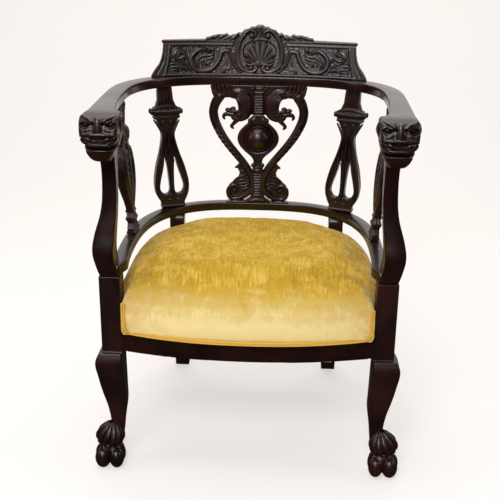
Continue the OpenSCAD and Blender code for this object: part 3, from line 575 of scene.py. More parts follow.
# leaf wing behind the foot scroll
slab(splat, [(20, 520), (42, 530), (51.5, 518), (47, 514), (42.5, 505), (45.5, 493), (57.6, 483), (67, 475),
             (70, 462),
             (68, 444), (60, 438), (34, 438), (15, 460), (16, 505)], face + 8.5, mid + 8, 2.0)
stroke(splat, [(30, 527), (42, 524), (51, 518)], [3.4, 3.2, 2.6], 0.6, level=face + 6)
for line in ([(24, 506), (33, 498), (44, 494), (56, 485)], [(22, 498), (32, 489), (44, 486), (56, 480)],
             [(21, 488), (30, 481), (42, 479), (50, 478)], [(22, 478), (29, 473), (36, 472), (42, 472)],
             [(24, 469), (31, 465), (38, 465)], [(26, 514), (33, 508), (40, 508)]):
    stroke(splat, line, [2.0, 3.2, 2.8, 1.8], 0.3, level=face + 7.4)
ball(splat, (53, face + 1, 463.5), 4.6, 0.6)
# column, cups and the small urn below the pear
for k in range(8):
    stroke(splat, [(-3, 648 + k * 6.0), (8.4, 648 + k * 6.0)], [2.5], 0.4, level=face + 2.2)
stroke(splat, [(-3, 693), (9, 694), (14, 701)], [3.4, 3.0, 2.6], 0.6, level=face + 1.4)
stroke(splat, [(-3, 702), (6, 703), (11, 708)], [3.0, 2.6, 2.4], 0.6, level=face + 0.5)
stroke(splat, [(-3, 641.5), (9, 640), (17, 633)], [3.2, 3.2, 3.4], 0.6, level=face + 0.5)
ball(splat, (19, face + 1.5, 629), (5.4, 5, 6.5), 0.7)
ball(splat, (0, face + 2, 513), (12.5, 10, 7.5), 0.8)
ball(splat, (10.5, face + 1.5, 525), (5.4, 5, 5.4), 0.7)
for k in range(9):
    stroke(splat, [(-3, 503 - k * 6.3), (7.6 - k * 0.25, 502 - k * 6.3)], [2.6], 0.4, level=face + 1.8)
stroke(splat, [(-3, 443), (14, 439)], [3.0], 0.6, level=face + 1)
# leaves at the head of each arm and the feathered neck
for k, (a, b) in enumerate((((106, 706), (84, 676)), ((99, 708), (79, 682)), ((91, 708), (71, 686)),
                            ((82, 708), (63, 688)), ((73, 709), (55, 692)), ((63, 709), (47, 694)))):
    bow = ((a[0] + b[0]) / 2 + 5, (a[1] + b[1]) / 2 - 5)
    stroke(splat, [a, bow, b], [3.4, 3.2, 1.2], 0.4, level=face + 1.4)
stroke(splat, [(103, 699), (98, 690), (92, 684), (84, 681)], [2.6, 3.6, 3.0, 1.6], 0.5, level=face + 1.8)
neck = [(64, 691), (45, 690), (33.5, 676), (29.5, 659), (33, 645), (42, 636.5)]
stroke(splat, neck, [11, 15.5, 16.5, 16.5, 15, 11], 1.0, flat=0.55, level=mid - 1)
for k, away in enumerate((-14, -9.5, -5, -0.5, 4, 8.5)):
    line = []
    for i in range(1, len(neck) - (1 if k % 2 else 0)):
        d = np.array(neck[min(i + 1, len(neck) - 1)], float) - neck[i - 1]
        d /= np.linalg.norm(d)
        p = np.array(neck[i]) + np.array([-d[1], d[0]]) * -away
        line.append((p[0], mid - 2 - 8.6 * math.sqrt(max(0.12, 1 - (away / 18) ** 2)), p[1]))
    stroke(splat, line, [1.2, 2.7, 2.9, 2.6, 1.8], 0.3)
# beaked head: brow, eye, upper and lower beak, ear
ball(splat, (50, mid - 2, 637), (13.5, 8.5, 10.5), 1.2)
stroke(splat, [(50, 640), (64, 643), (76, 642), (80, 636), (77, 631)], [7.5, 6.0, 4.6, 3.4, 1.8], 0.8, flat=0.9,
       level=mid - 2)
stroke(splat, [(48, 630), (55, 623), (61.7, 615), (57.5, 610)], [5.5, 4.6, 3.6, 2.4], 0.8, level=mid - 2)
ball(splat, (62, mid - 1, 616), 1.9, 0.5, True)
ball(splat, (69.5, mid - 3, 652.5), (7.0, 6, 5.0), 0.8)
ball(splat, (58, mid - 3, 655.5), (6.5, 6.5, 5.2), 0.8)
stroke(splat, [(44, 649), (54, 651), (66, 650)], [2.4, 3.0, 1.8], 0.5, level=face + 1.0)
ball(splat, (52, face + 1.5, 641), (5.2, 3.6, 4.6), 0.5, True)
ball(splat, (52, face + 2.4, 641), 3.1, 0.4)
stroke(splat, [(60, 632), (68, 635.5), (77, 634.5)], [2.0, 1.6, 1.0], 0.5, True, level=face + 1)
ball(splat, (71, face + 0.5, 645), 1.5, 0.4, True)
points, faces = blockMesh(splat, mirror=True)
makePiece("carvedMiddleSplat", points, faces, ("centre_splat",), material=carvedWood)
print("middle splat carved", len(faces))


# pierced rear splats, worked on both faces
def railY(x, rail, backAt):
    # where a horseshoe rail's middle line lies at x
    bend = (1 - (abs(x) / rail["half"]) ** rail["exponent"]) ** (1 / rail["exponent"])
    return rail["midY"] + (backAt - rail["midY"]) * bend


rearSplat = {"x": 193, "turn": 22, "lean": 18, "thick": 15, "step": 1.0}
low, high = hoopTop, armLow
rear = newBlock((0, -14, low - 2), (42, 12, high + 2), rearSplat["step"])
near = -rearSplat["thick"] / 2


def share(z):
    return low + (z - 433) / 277 * (high - low)


def fitted(points):
    return [(p[0], share(p[1])) if len(p) == 2 else (p[0], p[1], share(p[2])) for p in points]


rearEdge = [(-6, 433), (28, 433), (27.5, 447), (34, 458), (39, 470), (40.5, 485), (39, 500), (33, 530), (24, 560),
            (16.5, 588), (14, 604), (16, 621), (24, 636), (31, 640), (30, 646), (36, 651), (35, 658), (23, 667),
            (18, 680), (16.5, 710), (-6, 710)]
slab(rear, fitted(rearEdge), near, -near, 2.2)
slot = smoothCurve([(12, 553), (16.5, 528), (25, 498), (28, 480), (22, 468), (12, 466), (6, 474), (6, 500),
                    (8, 530),
                    (12, 553)], 3)[:-1]
slab(rear, fitted(slot), near - 4, -near + 4, 0.2, 1.6, True)
slab(rear, fitted([(1.5, 604), (8, 598), (12.5, 575), (13.5, 548), (8, 545), (3.5, 560)]), near - 4, near + 6, 0.8,
     1.5, True)
for side in (1, -1):
    at = near * side
    stroke(rear, fitted([(27, at, 634), (20, at, 622), (12.5, at, 606), (13, at, 590), (19.5, at, 562),
                         (29, at, 532),
                         (35.5, at, 502), (36.5, at, 482), (32, at, 464), (27, at, 452)]),
           [2.0, 2.6, 3.0, 3.2, 3.2, 3.0, 2.4], 0.8)                # rim
    stroke(rear, fitted([(0, at, 606), (0, at, 560), (0, at, 500), (0, at, 466)]), [2.0, 3.0, 3.4, 4.0], 0.8)
    stroke(rear, fitted([(9, at, 632), (7, at, 612), (6.5, at, 592), (8.5, at, 576)]), [2.0, 2.2, 1.8, 1.0], 0.5)
    stroke(rear, fitted([(-3, at, 632), (0, at, 610), (0, at, 596)]), [1.6, 2.2, 1.6], 0.5)
    for u in (3.6, 10.8):                # reeded neck
        stroke(rear, fitted([(u, at, 676), (u * 0.92, at, 692), (u * 0.9, at, 710)]), [2.7, 2.9, 2.9], 0.3)
    stroke(rear, fitted([(-3, at, 666), (12, at, 665), (27, at, 662)]), [2.8, 2.8, 2.0], 0.8)
    for k in range(6):                   # gadrooned collar
        ball(rear, (3 + k * 6.2, at, share(653.5 + 0.2 * k)), (3.9, 4.6, 6.4), 0.5)
    stroke(rear, fitted([(-3, at, 642.5), (15, at, 642), (28, at, 641.5)]), [3.2, 3.2, 2.6], 0.6)
    stroke(rear, fitted([(5, at, 464), (5, at, 456), (10, at, 451.5), (15, at, 456), (15, at, 463)]), [1.7], 0.5)
    stroke(rear, fitted([(-3, at, 438), (26, at, 438)]), [2.4], 0.6)
points, faces = blockMesh(rear, mirror=True)


def standPlate(points, x0, y0, turn, leanX, leanY):
    u, d, z = np.asarray(points).T
    c, s = math.cos(math.radians(turn)), math.sin(math.radians(turn))
    t = (z - low) / (high - low)
    return np.column_stack([x0 + u * c + d * s + leanX * t, y0 - u * s + d * c + leanY * t, z])


footY, headY = railY(rearSplat["x"], hoop, backY - 4), railY(rearSplat["x"] + rearSplat["lean"], armRail, backY)
placed = standPlate(points, rearSplat["x"], footY + 1, rearSplat["turn"], rearSplat["lean"], headY - footY)
makePiece("piercedRearSplatRight", placed, faces, ("rear_splat_right",), material=carvedWood)
makePiece("piercedRearSplatLeft", flipped(placed), faces, ("rear_splat_left",), material=carvedWood)
print("rear splats carved", len(faces))

# carved side supports, drawn with x through the board, y along the chair's side; outer and inner faces match
support = newBlock((0, -50, low - 2), (14, 50, high + 2), 1.0)
supportSide = [(26, 433), (25, 446), (15, 455), (18, 462), (17, 468), (12, 478), (13, 486), (20, 497), (34, 520),
               (43, 548), (46, 576), (42, 602), (31, 622), (36, 632), (37, 642), (30, 655), (18, 664), (18, 676),
               (30, 688), (33, 699), (28, 710)]
supportEdge = supportSide + [(-u, z) for u, z in reversed(supportSide)]


def across(points):
    return [(a, u, share(z)) for a, u, z in points]


cut, x, y, z = window(support, (-5, -60, 0), (20, 60, 900))
side = outlineDistance(fitted(supportEdge), y[0], z[0])[None] + 2.5
deep = np.abs(x) - 8 + 2.5
join(support, cut, roundCorner(side, deep, 2.5).astype(np.float32), 0.5)
for s in (1, -1):
    stroke(support, across([(8, 0, 492), (8, s * 14, 510), (8, s * 30, 536), (8, s * 38, 566), (8, s * 34, 594),
                            (8, s * 22, 612), (8, s * 9, 606), (8, s * 8, 594), (8, s * 15, 588)]),
           [2.0, 3.4, 4.6, 5.0, 4.8, 4.2, 3.6, 3.0, 3.4], 0.6)
    for k in range(6):                   # feathered leaf inside the scroll
        stroke(support, across([(7.4, s * 2, 508 + k * 15), (8.2, s * (10 + k * 1.6), 522 + k * 14),
                                (7.6, s * (20 + k * 1.2), 532 + k * 12)]), [2.0, 3.4, 1.6], 0.4)
    stroke(support, across([(8, s * 8, 628), (8, s * 22, 630), (8, s * 31, 641), (8, s * 24, 652), (8, s * 14, 648),
                            (8, s * 17, 641)]), [2.2, 3.4, 4.0, 3.8, 3.0, 3.0], 0.6)
    ball(support, (8, s * 21, share(641)), (4.4, 5.2, 5.2), 0.6)
    stroke(support, across([(8, s * 6, 668), (8, s * 10, 682), (8, s * 18, 694), (8, s * 27, 700),
                            (8, s * 24, 707)]),
           [2.4, 3.4, 3.8, 3.6, 2.6], 0.6)
    ball(support, (8, s * 21, share(701)), (4.6, 6, 6), 0.6)
    stroke(support, across([(8, s * 3, 664), (8, s * 4, 690), (8, s * 8, 708)]), [2.2, 2.6, 2.2], 0.4)
    stroke(support, across([(7.4, s * -2, 480), (7.4, s * 12, 480)]), [2.6], 0.8)
    stroke(support, across([(6.6, s * -2, 464), (6.6, s * 13, 464)]), [4.6], 2.0)
    stroke(support, across([(7.6, s * -2, 438), (7.6, s * 25, 438)]), [2.4], 1.0)
for a in (0.0, 5.6):                     # long grooves down the narrow edges
    for s in (1, -1):
        stroke(support, across([(a, s * (u + 0.8), z) for u, z in supportSide[3:-1]]), [1.7], 0.6, True, steps=3)
stroke(support, across([(8, 0, 500), (9, 0, 560), (9, 0, 610), (8, 0, 640)]), [2.4, 3.4, 3.2, 2.2], 0.6)
ball(support, (7, 0, share(655)), (5, 8, 6), 0.8)
points, faces = blockMesh(support, mirror=True)
t = (points[:, 2] - low) / (high - low)
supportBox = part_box("side_support_right")
supportY = (supportBox[0].y + supportBox[1].y) * 500 - setBack
placed = np.column_stack([hoop["half"] - 1 - points[:, 0] + (armX(supportY) - hoop["half"] - 2) * t,
                          supportY + points[:, 1], points[:, 2]])
makePiece("carvedSupportRight", placed, faces, ("side_support_right",), material=carvedWood)
makePiece("carvedSupportLeft", flipped(placed), faces, ("side_support_left",), material=carvedWood)
print("side supports carved", len(faces))

# beast heads on the arm ends: x from the head's middle, y from the front of the feet, z below the head's top
head = newBlock((0, -56, -97), (40, 14, 4), 0.8)
headTop = headBox[1].z * 1000
headMid = postInner + 16
profile = [(14, -1.5), (-6, 0), (-18, -1), (-32, -6), (-38, -13), (-42, -21), (-46.5, -33), (-49, -44), (-48, -54),
           (-44, -59.5), (-31, -61), (-29, -66), (-38, -70), (-41, -72), (-39.5, -78), (-33, -86), (-22, -91.5),
           (-8, -92), (14, -90)]
frontal = [(-6, 2), (22, 2), (30, -3), (34.5, -12), (35, -24), (34.5, -38), (33, -52), (31, -60), (27.5, -70),
           (21, -82),
           (15, -90), (9, -92), (-6, -93)]
cut, x, y, z = window(head, (-5, -80, -120), (60, 40, 30))
sideD = outlineDistance(profile, y[0], z[0])[None]
frontD = outlineDistance(frontal, x[:, 0, :], z[0])[:, None, :]
blend = 9.0                              # how softly the front meets the sides
h = np.clip(0.5 - 0.5 * (frontD - sideD) / blend, 0, 1)
head["field"][cut] = (frontD * (1 - h) + sideD * h + blend * h * (1 - h)).astype(np.float32)
# nose, muzzle and nostril
stroke(head, [(0, -40, -17), (0, -41, -30), (0, -38.5, -43)], [6.5, 8.0, 12.0], 2.5)
stroke(head, [(0, -52, -51.5), (14, -51.5, -51.5), (26, -45, -50), (33, -33, -46)], [4.6, 4.8, 4.4, 3.0], 1.2, True)
stroke(head, [(-3, -49, -43.5), (14, -48.5, -43.5), (24, -44.5, -44.5), (31, -36, -44.5)], [3.0, 3.0, 3.0, 2.0],
       0.7)
stroke(head, [(10, -49, -54), (16, -49.5, -50.5), (23, -46, -51), (24, -45, -55), (18, -47.5, -56)],
       [1.6, 2.8, 2.6, 1.8, 1.2], 0.6)
ball(head, (18.5, -49.5, -53), (2.2, 3, 1.6), 0.5, True)
# open mouth between two lips
stroke(head, [(-3, -34, -65.5), (16, -33, -65), (26, -27, -62), (32, -16, -57), (37, -6, -50)],
       [4.6, 4.6, 4.4, 3.4, 2.4], 0.8, True)
stroke(head, [(-3, -46.5, -60), (14, -46, -60), (24, -40, -58), (30, -29, -54), (33.5, -16, -48)],
       [2.2, 2.2, 2.2, 2.0, 1.5], 0.7)
stroke(head, [(-3, -41, -71.5), (12, -40.5, -71.5), (21, -35, -70.5), (27, -24, -68), (29, -10, -66)],
       [2.1, 2.1, 2.1, 1.9, 1.5], 0.7)
# eye in its socket, with lids and a bag below
ball(head, (21.5, -42, -27), (10.5, 9, 7.6), 1.2, True)
ball(head, (22, -34.5, -26), (7.0, 6.4, 5.2), 0.5)
stroke(head, [(12.5, -42.5, -27), (17, -43, -22), (24, -40, -20.2), (30, -34, -22)], [1.4, 2.0, 2.1, 1.4], 0.5)
stroke(head, [(12, -43.5, -28), (18, -44, -32.5), (25, -41, -32), (30.5, -34.5, -28)], [1.2, 1.8, 1.8, 1.2], 0.5)
stroke(head, [(13, -46, -34), (21, -45.5, -37), (29, -40, -35.5)], [1.2, 2.6, 1.6], 1.0)
# knitted brow
stroke(head, [(8, -43.5, -20), (13, -42, -16), (21, -37.5, -11), (29, -29, -7)], [4.2, 4.8, 4.2, 2.6], 0.8)
stroke(head, [(10, -44.5, -25), (17, -43, -20.5), (25, -38.5, -17), (32, -30, -15)], [1.4, 2.3, 2.3, 1.4], 0.4)
stroke(head, [(8.5, -45.5, -22), (15, -42, -18.6), (23, -39, -14.6)], [1.6, 1.0, 0.6], 0.5, True)
ball(head, (8.5, -45.5, -24), (3.4, 5.0, 3.2), 0.8, True)
stroke(head, [(0, -37, -10), (0, -42.5, -18)], [0.6, 1.2], 0.8, True)
for k in range(4):                       # mane on the cheek
    stroke(head, [(34.5, -22 + k * 8, -14 - k * 2), (36, -20 + k * 8, -30 - k), (33.5, -12 + k * 7, -46)],
           [1.2, 2.6, 1.2], 0.5)
stroke(head, [(6, -40, -80), (14, -36, -81), (20, -28, -80)], [1.0, 1.4, 0.8], 0.6, True)
# sawn flat where it meets the arm, and the features drawn up towards the top
headDepth = head["low"][1] + head["step"] * np.arange(head["field"].shape[1])[None, :, None]
head["field"] = np.maximum(head["field"], headDepth - 10).astype(np.float32)
points, faces = blockMesh(head, mirror=True)
points[:, 2] = np.interp(points[:, 2], [-97, -92, -71.5, -65.5, -60, -44, -26, -10, 0, 4],
                         [-97, -92, -65, -60, -53, -35, -17, -5, 0, 4])
placed = points + [headMid, 0, headTop]
makePiece("carvedBeastHeadRight", placed, faces, ("beast_head_right",), material=carvedWood)
makePiece("carvedBeastHeadLeft", flipped(placed), faces, ("beast_head_left",), material=carvedWood)
print("heads carved", len(faces))


# posts and rear legs
def trace(pairs, z, steps=8):
    # value at height z on a smooth curve through (value, height) pairs
    line = smoothCurve(sorted(pairs, key=lambda q: q[1]), steps)
    return np.interp(z, line[:, 1], line[:, 0])


def loftBar(heights, inX, outX, frontLine, backLine, radius, corner=3):
    # a squared bar whose four sides follow their own lines, with rounded edges
    rings = []
    for z, a, b, c, d in zip(heights, inX, outX, frontLine, backLine):
        for cx, cy, start in ((b, d, 0), (a, d, 90), (a, c, 180), (b, c, 270)):
            mx, my = cx + (-radius if cx == b else radius), cy + (-radius if cy == d else radius)
            for k in range(corner + 1):
                angle = math.radians(start + 90 * k / corner)
                rings.append((mx + radius * math.cos(angle), my + radius * math.sin(angle), z))
    return np.array(rings), ringFaces(len(heights), 4 * (corner + 1))


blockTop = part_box("arm_post_right")[0].z * 1000
postFront = 8.0
edgeRadius = 2.6
heights = np.linspace(blockTop, armLow, 72)
t = (heights - blockTop) / (armLow - blockTop)
outX = postInner + 41 + trace([(-2, 0), (3, .07), (8, .18), (4, .28), (-8, .42), (-13, .55), (-14, .75), (-8, .92),
                               (-3, 1)], t)
inX = postInner + trace([(1, 0), (6, .08), (9, .18), (6, .3), (1, .5), (0, .75), (0, 1)], t)
frontLine = postFront + trace([(5, 0), (-2, .08), (-6, .17), (2, .3), (10, .48), (9, .66), (3, .78), (0, .88),
                               (0, 1)], t)
backLine = postFront + trace([(38, 0), (37, .16), (34, .4), (34, .7), (40, 1)], t)
points, faces = loftBar(heights, inX, outX, frontLine, backLine, edgeRadius)
makePiece("armPostRight", points, faces, ("arm_post_right",), material=railWood)
makePiece("armPostLeft", flipped(points), faces, ("arm_post_left",), material=railWood)

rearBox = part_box("rear_leg_right")
rearTop = rearBox[1].z * 1000
rearMid = (rearBox[0].x + rearBox[1].x) * 500
heights = np.linspace(0, rearTop, 44)
rearY = backY - 461 + 405.2 + trace([(55, 0), (28, .2), (9, .45), (1, .7), (0, 1)], heights / rearTop)
half = (rearBox[1].x - rearBox[0].x) * 500
points, faces = loftBar(heights, [rearMid - half] * 44, [rearMid + half] * 44, rearY - half, rearY + half,
                        edgeRadius)
makePiece("rearLegRight", points, faces, ("rear_leg_right",), material=railWood)
makePiece("rearLegLeft", flipped(points), faces, ("rear_leg_left",), material=railWood)

# cabriole front legs with hair and paw
leg = newBlock((postInner - 8, -33, -1.5), (313, 60, blockTop + 2), 1.0)
cut, x, y, z = window(leg, (0, -90, -10), (400, 90, 900))
zs = z[0, 0]
aX = postInner + trace([(0, 252), (-1, 224), (-3, 171), (-4, 139), (1, 102), (4, 72), (8, 48)], zs)
bX = postInner + trace([(46, 252), (54, 230), (49, 194), (43, 164), (34, 129), (29, 95), (31, 72), (36, 48)], zs)
aY = 10 + trace([(-9, 252), (-15, 230), (-11, 194), (-7, 154), (-4, 114), (-5, 72), (-9, 48)], zs)
bY = 10 + trace([(42, 252), (38, 224), (32, 174), (26, 134), (22, 95), (20, 72), (18, 48)], zs)


def addColumn(aX, bX, aY, bY, z0, z1, radius, soft):
    dx = np.abs(x - (aX + bX) / 2) - (bX - aX) / 2 + radius
    dy = np.abs(y - (aY + bY) / 2) - (bY - aY) / 2 + radius
    join(leg, cut, np.maximum(roundCorner(dx, dy, radius), np.maximum(z0 - z, z - z1)).astype(np.float32), soft)


addColumn(aX, bX, aY, bY, 48, 250.5, 5.0, 0.5)
addColumn(float(postInner), float(postInner + 41), 10.0, 52.0, 246, blockTop, 1.6, 1.2)
pawX, pawY = 278.0, 2.0
ball(leg, (pawX - 1, pawY + 3, 29), (27, 25, 27), 1.0)
ball(leg, (pawX - 1, pawY + 2, 64), (23, 21, 21), 5.0)
for centre, radii in (((-14.5, -15, 22), (14.5, 16, 21)), ((13.5, -14, 22), (16, 17, 22)),
                      ((22, 6, 21), (10.5, 15, 19)),
                      ((-20, 7, 20), (9, 14, 18)), ((2, 20, 19), (19, 12, 17))):          # toes
    ball(leg, (pawX + centre[0], pawY + centre[1], centre[2]), radii, 1.2)
around = [(pawX - 1 + 27.5 * math.cos(a), pawY + 2 + 25.5 * math.sin(a), 47.5 + 1.5 * math.cos(2 * a))
          for a in np.linspace(0, 2 * math.pi, 25)]
stroke(leg, around, [5.0], 1.2, True, steps=2)          # cut above the toes
for k in range(11):                      # locks of hair, then the gaps between them
    a = math.radians(-112 + k * 32.7)
    reach = 0.98 + 0.2 * math.cos(a)
    line = [(pawX - 4 + r * math.cos(a + turn) * reach, pawY + 4 + r * math.sin(a + turn), h)
            for r, turn, h in ((7, -0.3, 94), (15, -0.12, 84), (22.5, 0.06, 70), (24.5, 0.28, 57), (22, 0.42, 50))]
    stroke(leg, line, [2.0, 4.6, 6.4, 5.0, 1.6], 0.6)
for k in range(11):
    a = math.radians(-96 + k * 32.7)
    line = [(pawX - 4 + r * math.cos(a + turn), pawY + 4 + r * math.sin(a + turn), h)
            for r, turn, h in ((12, -0.2, 90), (23, -0.02, 77), (28, 0.2, 60))]
    stroke(leg, line, [0.5, 1.5, 1.2], 0.6, True)
# a middle lock, and the cuts between the toes
stroke(leg, [(pawX - 0.5, pawY - 27, 57), (pawX, pawY - 31.5, 46), (pawX + 0.5, pawY - 31, 34)], [3.6, 3.4, 1.0],
       0.5)
stroke(leg, [(pawX - 0.5, pawY - 36, 6), (pawX - 0.5, pawY - 38, 22), (pawX, pawY - 31, 38)], [6.0, 5.0, 1.5], 1.0,
       True)
stroke(leg, [(pawX + 27, pawY - 14, 6), (pawX + 30, pawY - 12, 20), (pawX + 27, pawY - 8, 36)], [3.5, 2.4, 1.2],
       1.0, True)
leg["field"] = np.maximum(leg["field"], np.maximum(0.4 - z, z - (blockTop - 0.2))).astype(np.float32)
points, faces = blockMesh(leg)
points[:, 2] = np.maximum(points[:, 2], 0)
makePiece("cabrioleLegRight", points, faces, ("front_leg_right",), material=carvedWood)
makePiece("cabrioleLegLeft", flipped(points), faces, ("front_leg_left",), material=carvedWood)
print("legs carved", len(faces))

# the seat rails keep their shape, with their edges eased
for name in ("front_seat_rail", "rear_seat_rail", "side_seat_rail_left", "side_seat_rail_right"):
    bevel = nodes[name].modifiers.new("easedEdges", "BEVEL")
    bevel.width, bevel.segments, bevel.limit_method, bevel.angle_limit = 0.0015, 2, "ANGLE", math.radians(40)

# velvet seat
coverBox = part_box("velvet_cover")
coverLow, crownTop = coverBox[0].z * 1000, coverBox[1].z * 1000
tipY = coverBox[0].y * 1000 - setBack + 2.0
seatHalf = postInner + 15
rearLegFront = float(rearY[-1] - half)
seatBack = 435 + backY - 461


def seatOutline(inset, count=15):
    fx, sx = postInner - 1.5 - inset, seatHalf - inset
    line = [(fx * i / count, tipY + 2 + inset + (-4 - tipY) * (i / count) ** 2.2) for i in range(count + 1)]
    line += [(fx + 0.4, y) for y in (8, 24, 40)] + [(fx + 2, 54), (sx - 4, 66), (sx, 84), (sx, 110), (sx, 136)]
    for k in range(30):
        a = math.radians(2 + 88 * k / 29)
        x, y = sx * bendPower(math.cos(a), 3.2), 150 + (seatBack - inset - 150) * bendPower(math.sin(a), 3.2)
        line.append((max(x, 0), y))
    line = np.array(line)
    return np.vstack([line, (line[1:-1] * [-1, 1])[::-1]])


# spread of the outline, height as a share of the crown's, and how far the front bulges
domeSteps = smoothCurve([(1, 0, 0), (1.002, .13, .012), (1.003, .27, .026), (1.0, .42, .026), (.985, .56, .018),
                         (.958, .68, .008), (.915, .775, 0), (.84, .855, 0), (.73, .915, 0), (.58, .958, 0),
                         (.42, .984, 0), (.25, .997, 0)], 2)
outline = seatOutline(0)
rings = []
for spread, rise, reach in domeSteps:
    away = outline - [0, 195]
    k = spread + np.where(away[:, 1] < 0, reach, 0)
    ring = np.column_stack([outline[:, 0] * spread, 195 + away[:, 1] * k,
                            np.full(len(outline), coverLow + rise * (crownTop - coverLow))])
    atLeg = np.abs(np.abs(ring[:, 0]) - rearMid) < half + 1.5
    ring[atLeg, 1] = np.minimum(ring[atLeg, 1], rearLegFront - 1.5)
    rings.append(ring)
seat = makePiece("velvetSeat", np.vstack(rings), ringFaces(len(rings), len(outline)), ("velvet_cover",))


def applyModifiers(piece):
    bpy.context.view_layer.update()
    result = bpy.data.meshes.new_from_object(piece.evaluated_get(bpy.context.evaluated_depsgraph_get()))
    piece.modifiers.clear()
    piece.data = result
    for polygon in result.polygons:
        polygon.use_smooth = True


padding = {"voxel": 0.005, "pressure": 4.0, "frames": 20, "cap": 0.011, "hold": 0.012, "clear": 0.0016}
remesh = seat.modifiers.new("evenCloth", "REMESH")
remesh.mode, remesh.voxel_size = "VOXEL", padding["voxel"]
even = seat.modifiers.new("even", "SMOOTH")
even.factor, even.iterations = 0.5, 6
applyModifiers(seat)
start = np.array([v.co for v in seat.data.vertices])
held = seat.vertex_groups.new(name="tackedEdge")
for v in seat.data.vertices:
    low = (v.co.z - coverLow / 1000) / padding["hold"]
    held.add([v.index], 1.0 if low < 1 else max(0.0, 0.25 - (low - 1) * 0.12), "REPLACE")
cloth = seat.modifiers.new("padding", "CLOTH")
cloth.settings.use_pressure = True
cloth.settings.uniform_pressure_force = padding["pressure"]
cloth.settings.effector_weights.gravity = 0
cloth.settings.vertex_group_mass = "tackedEdge"
cloth.settings.quality = 4
cloth.settings.tension_stiffness = cloth.settings.compression_stiffness = 12
cloth.collision_settings.use_collision = False
cloth.point_cache.frame_start, cloth.point_cache.frame_end = 1, padding["frames"]
for frameNumber in range(1, padding["frames"] + 1):
    bpy.context.scene.frame_set(frameNumber)
applyModifiers(seat)
bpy.context.scene.frame_set(1)
moved = np.array([v.co for v in seat.data.vertices])
shift = moved - start
far = np.linalg.norm(shift, axis=1)
shift *= (np.minimum(far, padding["cap"]) / np.maximum(far, 1e-9))[:, None]
shape = (start + shift) * 1000 - [0, setBack, 0]
# hand-pulled cover: shallow hollows over the springs and drag lines at the front corners
hollow = (1.3 * np.sin(shape[:, 0] / 47 + 0.6) * np.sin(shape[:, 1] / 53)
          + 0.7 * np.sin(shape[:, 0] / 21 + shape[:, 1] / 33))
up = np.clip((shape[:, 2] - coverLow - 25) / 60, 0, 1)
shape[:, 2] -= hollow * up
corner = np.exp(-((np.abs(shape[:, 0]) - 236) / 15) ** 2) * np.clip((30 - shape[:, 1]) / 40, 0, 1)
drag = 3.0 * np.cos((np.abs(shape[:, 0]) - 232) / 3.2) * np.clip((shape[:, 2] - coverLow) / 40, 0, 1)
shape[:, 1] += corner * drag
# kept clear of the legs, the posts and the rails
besideLeg = (np.abs(np.abs(shape[:, 0]) - rearMid) < half + 1.2) & (shape[:, 1] > rearLegFront - 1.2)
shape[besideLeg, 1] = rearLegFront - 1.2
byPost = (shape[:, 1] < 56) & (np.abs(shape[:, 0]) > postInner - 1.2)
shape[byPost, 0] = np.sign(shape[byPost, 0]) * (postInner - 1.2)
shape[:, 2] = np.clip(shape[:, 2], coverLow, crownTop + 6)
shape[:, 1] = np.maximum(shape[:, 1], tipY - 6)
hair = nodes["seat_stuffing"]
inside = BVHTree.FromPolygons([hair.matrix_world @ v.co for v in hair.data.vertices],
                              [f.vertices for f in hair.data.polygons])
for v, p in zip(seat.data.vertices, (shape + [0, setBack, 0]) / 1000):
    p = Vector(p)
    spot, normal, _, gap = inside.find_nearest(p)
    if p.z > coverLow / 1000 + 0.008 and gap < 0.012 and (p - spot).dot(normal) < padding["clear"]:
        p = spot + normal * padding["clear"]                   # stays outside the hair
    v.co = p
finer = seat.modifiers.new("finer", "SUBSURF")
finer.levels = finer.render_levels = 1
print("seat padded", len(seat.data.vertices))


def sweepCord(name, path, radius, sides=12):
    # round cord carried along the path
    path = smoothCurve(path, 5)
    rings = []
    for i, p in enumerate(path):
        d = path[min(i + 1, len(path) - 1)] - path[max(i - 1, 0)]
        d /= np.linalg.norm(d)
        a = np.cross(d, [0, 0, 1] if abs(d[2]) < 0.9 else [0, 1, 0])
        a /= np.linalg.norm(a)
        b = np.cross(d, a)
        rings += [p + radius * (math.cos(t) * a + math.sin(t) * b)
                  for t in np.linspace(0, 2 * math.pi, sides, endpoint=False)]
    return makePiece(name, rings, ringFaces(len(path), sides), ("welt_cord",))


# double piping along the front and up its corners, a single cord along each side
weltR, pipingR = 3.5, 2.35
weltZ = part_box("welt_cord")[0].z * 1000 + weltR
weltX = postInner - 2 - weltR
front = [(weltX * i / 8 * 0.955, tipY - 1.8 + (-2 - tipY - 2) * (abs(i) / 8) ** 2.2, weltZ) for i in range(-8, 9)]
rise = [(weltX, -7 - (64 - z) * 0.06, weltZ + z) for z in (12, 24, 44, 64)]
bend = [(weltX - 4.5, -9.5, weltZ + 1.2), (weltX - 1.2, -9.8, weltZ + 4.5)]      # rounded lower corner
path = [(-x, y, z) for x, y, z in (bend + rise)[::-1]] + front + bend + rise
path = [(x, y, z - 1.2) for x, y, z in path]
inner = [(x * (weltX - 4.3) / weltX, y - 0.4, z + (4.3 if z < weltZ + 30 else 0)) for x, y, z in path]
cords = [sweepCord("frontWelt", path, pipingR),
         sweepCord("frontWeltInner", inner, pipingR)]
side = [(seatHalf + weltR + 0.3, y, weltZ) for y in (69, 100, 150)]
for k in range(12):
    a = math.radians(4 + k * 45.9 / 11)
    x, y = seatHalf * bendPower(math.cos(a), 3.2), 150 + (seatBack - 150) * bendPower(math.sin(a), 3.2)
    out = np.array([x / seatHalf ** 2, (y - 150) / (seatBack - 150) ** 2])
    out /= np.linalg.norm(out)
    side.append((x + out[0] * 3.8, y + out[1] * 3.8, weltZ))
cords += [sweepCord("sideWeltRight", side, weltR),
          sweepCord("sideWeltLeft", flipped(side), weltR)]


